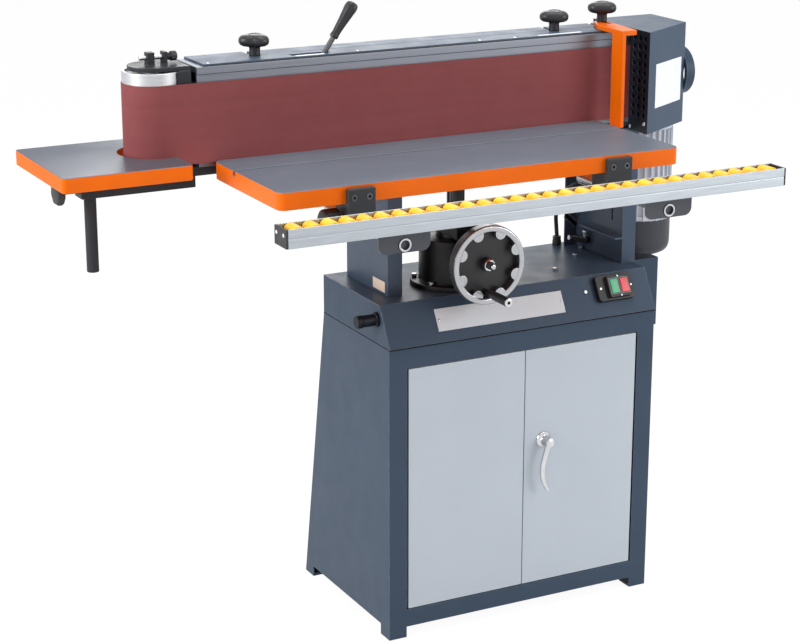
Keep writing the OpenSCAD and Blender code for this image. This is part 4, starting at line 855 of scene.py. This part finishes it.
def make_handwheel():
    dress("handwheel_rim", WHEEL_RIM, 0.9, 3)
    dress("handwheel_web", BLACK_GLOSS, 0.8)
    washer = turned([(11.6, -0.2), (11.6, 1.2), (10.6, 2.2), (9, 2.2), (9, 0)], 48)
    settle(on_wheel(washer), "hub_washer", "handwheel", CHROME, "chrome")
    settle(on_wheel(hex_head(16, 8), 2), "hub_nut", "handwheel", BLACK_ENAMEL, "black_paint")
    end = turned([(5.6, 7.6), (5.6, 14), (4.6, 15.6), (1.6, 16.4)], 32)
    settle(on_wheel(end), "shaft_end", "handwheel", BRIGHT_STEEL, "steel")
    low, high = box_mm("wheel_handle")
    length = high.y - low.y
    grip = turned([(5.8, 0), (6.6, 1), (6.8, 3), (6.4, 6), (7.2, 16), (8.6, 30), (9, 38), (9, length - 6),
                   (8.6, length - 3.4), (8, length - 2.6)], 48)
    root = (SPIN_GRIP.x, high.y, SPIN_GRIP.z)
    stand_for(aim(grip, root, (0, -1, 0)), "wheel_handle", BLACK_GLOSS)
    cap = turned([(7.8, length - 2.8), (8.4, length - 2.4), (8.4, length - 1), (7, length), (1, length)], 40)
    settle(aim(cap, root, (0, -1, 0)), "handle_cap", "wheel_grip", CHROME, "chrome")


def make_rail():
    rail = merged_copy("rail_profile")
    low, high = box_mm("rail_profile")
    mid, groove_half, groove_deep = (low.z + high.z) / 2, 1.2, 0.9
    groove = slab((low.x - 5, low.y - 3, mid - groove_half),
                  (high.x + 5, low.y + groove_deep, mid + groove_half), 0.2, 1)
    cut(rail, groove)
    round_edges(rail, 0.5 * MM)
    stand_for(rail, "rail_profile", RAIL)
    dress("rail_tubes", BRIGHT_STEEL, 0.6)
    dress("rail_carriers", CARRIER, 1.2)
    low, high = box_mm("rail_tubes")
    tube_r, wall, plug_deep = (high.z - low.z) / 2, 3.6, 9
    for x in (low.x + tube_r, high.x - tube_r):
        plug = turned([(tube_r - wall, 0), (tube_r - wall, 2.4), (tube_r - 5, 3), (1, 3)], 40)
        aim(plug, (x, low.y + plug_deep, low.z + tube_r), (0, -1, 0))
        settle(plug, "tube_plug", "rail", CARRIER, "black_paint")
    low, high = box_mm("rail_rollers")
    half, r, pitch, axle, face = (high.y - low.y) / 2, (high.z - low.z) / 2, 33, 2.4, 3.4
    roller = turned([(axle, -half), (axle, 3 - half), (9, 3 - half), (9.6, face - half),
                     (r - 1.6, face - half), (r, 5 - half), (r, half - 5), (r - 1.6, half - face),
                     (9.6, half - face), (9, half - 3), (axle, half - 3), (axle, half)], 28)
    aim(roller, (low.x + r, low.y + half, low.z + r), (0, 1, 0))
    place_in_mesh(roller)
    count = round((high.x - low.x - 2 * r) / pitch) + 1
    rollers = [roller] + [copy_to(roller, (pitch * i, 0, 0)) for i in range(1, count)]
    stand_for(joined(rollers), "rail_rollers", YELLOW)
    low, high = box_mm("rail_end_caps")
    thick, screw_inset, screw_rise = 4, 10, 5.5
    caps = [slab((x, low.y, low.z), (x + thick, high.y, high.z), 1.5, 3) for x in (low.x, high.x - thick)]
    stand_for(joined(caps), "rail_end_caps", BLACK)
    for y in (low.y + screw_inset, high.y - screw_inset):
        dot = turned([(3.2, 0), (3.2, 0.5), (2, 1), (0.5, 1.2)], 24)
        settle(aim(dot, (low.x, y, mid + screw_rise), (-1, 0, 0)), "cap_screw", "rail", PAPER, "door_paint")


def make_clamp_knobs():
    for node in ("rail_lock_knob", "end_clamp_knob"):
        low, high = box_mm(node)
        length, r = high.x - low.x, (high.z - low.z) / 2
        if node == "rail_lock_knob":
            head = length - 32
            knob = turned([(5, 0), (5, head), (8, head), (r - 0.4, head + 1.5), (r, head + 4),
                           (r, length - 6.6), (r - 0.8, length - 2.6), (r - 4, length - 0.3),
                           (1, length)], 72)
            flute(knob, 12, 0.035, head + 2.5, length - 4)
        else:
            head = length - 17
            knob = turned([(5, 0), (5, head), (10, head + 1), (r - 3, head + 2), (r - 0.6, head + 6),
                           (r - 0.6, length - 5), (r - 3.4, length - 1), (r - 9, length), (1, length)], 84)
            flute(knob, 7, 0.035, head + 1.5, length)
        aim(knob, (high.x, (low.y + high.y) / 2, (low.z + high.z) / 2), (-1, 0, 0))
        stand_for(knob, node, BLACK)


def finish_hidden():
    for node, finish in (("door_hinge_pins", STEEL), ("motor_shaft", STEEL), ("idler_axle", STEEL)):
        slots = frame["nodes"][node].data.materials
        slots.clear()
        slots.append(finish)


# Studio


def make_camera():
    bpy.ops.object.camera_add()
    camera = bpy.context.object
    right, up, back = (0.8882, -0.4595, 0.0), (0.1334, 0.2579, 0.9569), (-0.4397, -0.8499, 0.2904)
    at = (-2.054, -3.620, 1.843)
    focal_px, picture_w, sensor_mm = 2066.9, 800, 36
    camera.matrix_world = Matrix([(right[i], up[i], back[i], at[i]) for i in range(3)] + [(0, 0, 0, 1)])
    camera.data.sensor_fit = "HORIZONTAL"
    camera.data.sensor_width = sensor_mm
    camera.data.lens = sensor_mm * focal_px / picture_w
    camera.data.clip_end = 100
    bpy.context.scene.camera = camera


def seen_or_mirrored(tree):
    """1 for what the camera sees itself, in a mirror or through glass."""
    path = tree.nodes.new("ShaderNodeLightPath")
    found = path.outputs["Is Camera Ray"]
    for other in ("Is Glossy Ray", "Is Transmission Ray"):
        either = tree.nodes.new("ShaderNodeMath")
        either.operation = "MAXIMUM"
        tree.links.new(found, either.inputs[0])
        tree.links.new(path.outputs[other], either.inputs[1])
        found = either.outputs["Value"]
    return found


def make_studio():
    bpy.ops.object.select_all(action="DESELECT")
    bpy.ops.mesh.primitive_plane_add(size=40)
    floor = bpy.context.object
    floor.name = "studio_floor"
    f = Finish("studio_white")
    f.shader.inputs["Base Color"].default_value = (0.86, 0.86, 0.86, 1)
    f.shader.inputs["Roughness"].default_value = 0.9
    glow = f.node("Emission")
    glow.inputs["Strength"].default_value = 1.05
    blend = f.node("MixShader")
    share = f.node("Math", operation="MULTIPLY")
    share.inputs[1].default_value = 0.9
    f.link(seen_or_mirrored(f.tree), share.inputs[0])
    f.link(share.outputs["Value"], blend.inputs[0])
    f.link(f.shader.outputs["BSDF"], blend.inputs[1])
    f.link(glow.outputs["Emission"], blend.inputs[2])
    f.link(blend.outputs["Shader"], f.tree.nodes["Material Output"].inputs["Surface"])
    floor.data.materials.append(f.material)
    world = bpy.data.worlds.new("studio")
    bpy.context.scene.world = world
    world.use_nodes = True
    sky = world.node_tree.nodes["Background"]
    sky.inputs["Color"].default_value = (1, 1, 1, 1)
    sky.inputs["Strength"].default_value = 0.42
    white = world.node_tree.nodes.new("ShaderNodeBackground")
    white.inputs["Color"].default_value = (1, 1, 1, 1)
    white.inputs["Strength"].default_value = 1.0
    mix = world.node_tree.nodes.new("ShaderNodeMixShader")
    links = world.node_tree.links
    links.new(seen_or_mirrored(world.node_tree), mix.inputs[0])
    links.new(sky.outputs["Background"], mix.inputs[1])
    links.new(white.outputs["Background"], mix.inputs[2])
    links.new(mix.outputs["Shader"], world.node_tree.nodes["World Output"].inputs["Surface"])
    for name, at, aim_at, size, power in (
        ("key_left", (-4.4, -0.3, 2.5), (0, -0.1, 0.8), 2.6, 175),
        ("top_soft", (0.2, -0.6, 4.4), (0, -0.1, 0.9), 3.0, 90),
        ("front_fill", (2.9, -3.5, 2.1), (0.2, -0.1, 0.8), 2.6, 105),
        ("back_rim", (1.5, 3.8, 2.6), (0, 0, 0.9), 2.0, 40),
    ):
        bpy.ops.object.light_add(type="AREA", location=at)
        lamp = bpy.context.object
        lamp.name = name
        lamp.data.size = size
        lamp.data.energy = power
        lamp.rotation_euler = (Vector(aim_at) - Vector(at)).to_track_quat("-Z", "Y").to_euler()
    bpy.context.scene.view_settings.view_transform = "Standard"


dress_stand()
make_fan_cover()
make_name_plate()
make_switch()
make_hood_fittings()
make_post_clamp()
make_door_handle()
dress_belt_unit()
make_beam_cover()
make_tracking_screw()
make_lever_grip()
make_top_knobs()
make_dust_hood()
make_motor_cable()
dress_table()
make_handwheel()
make_rail()
make_clamp_knobs()
finish_hidden()
make_camera()
make_studio()
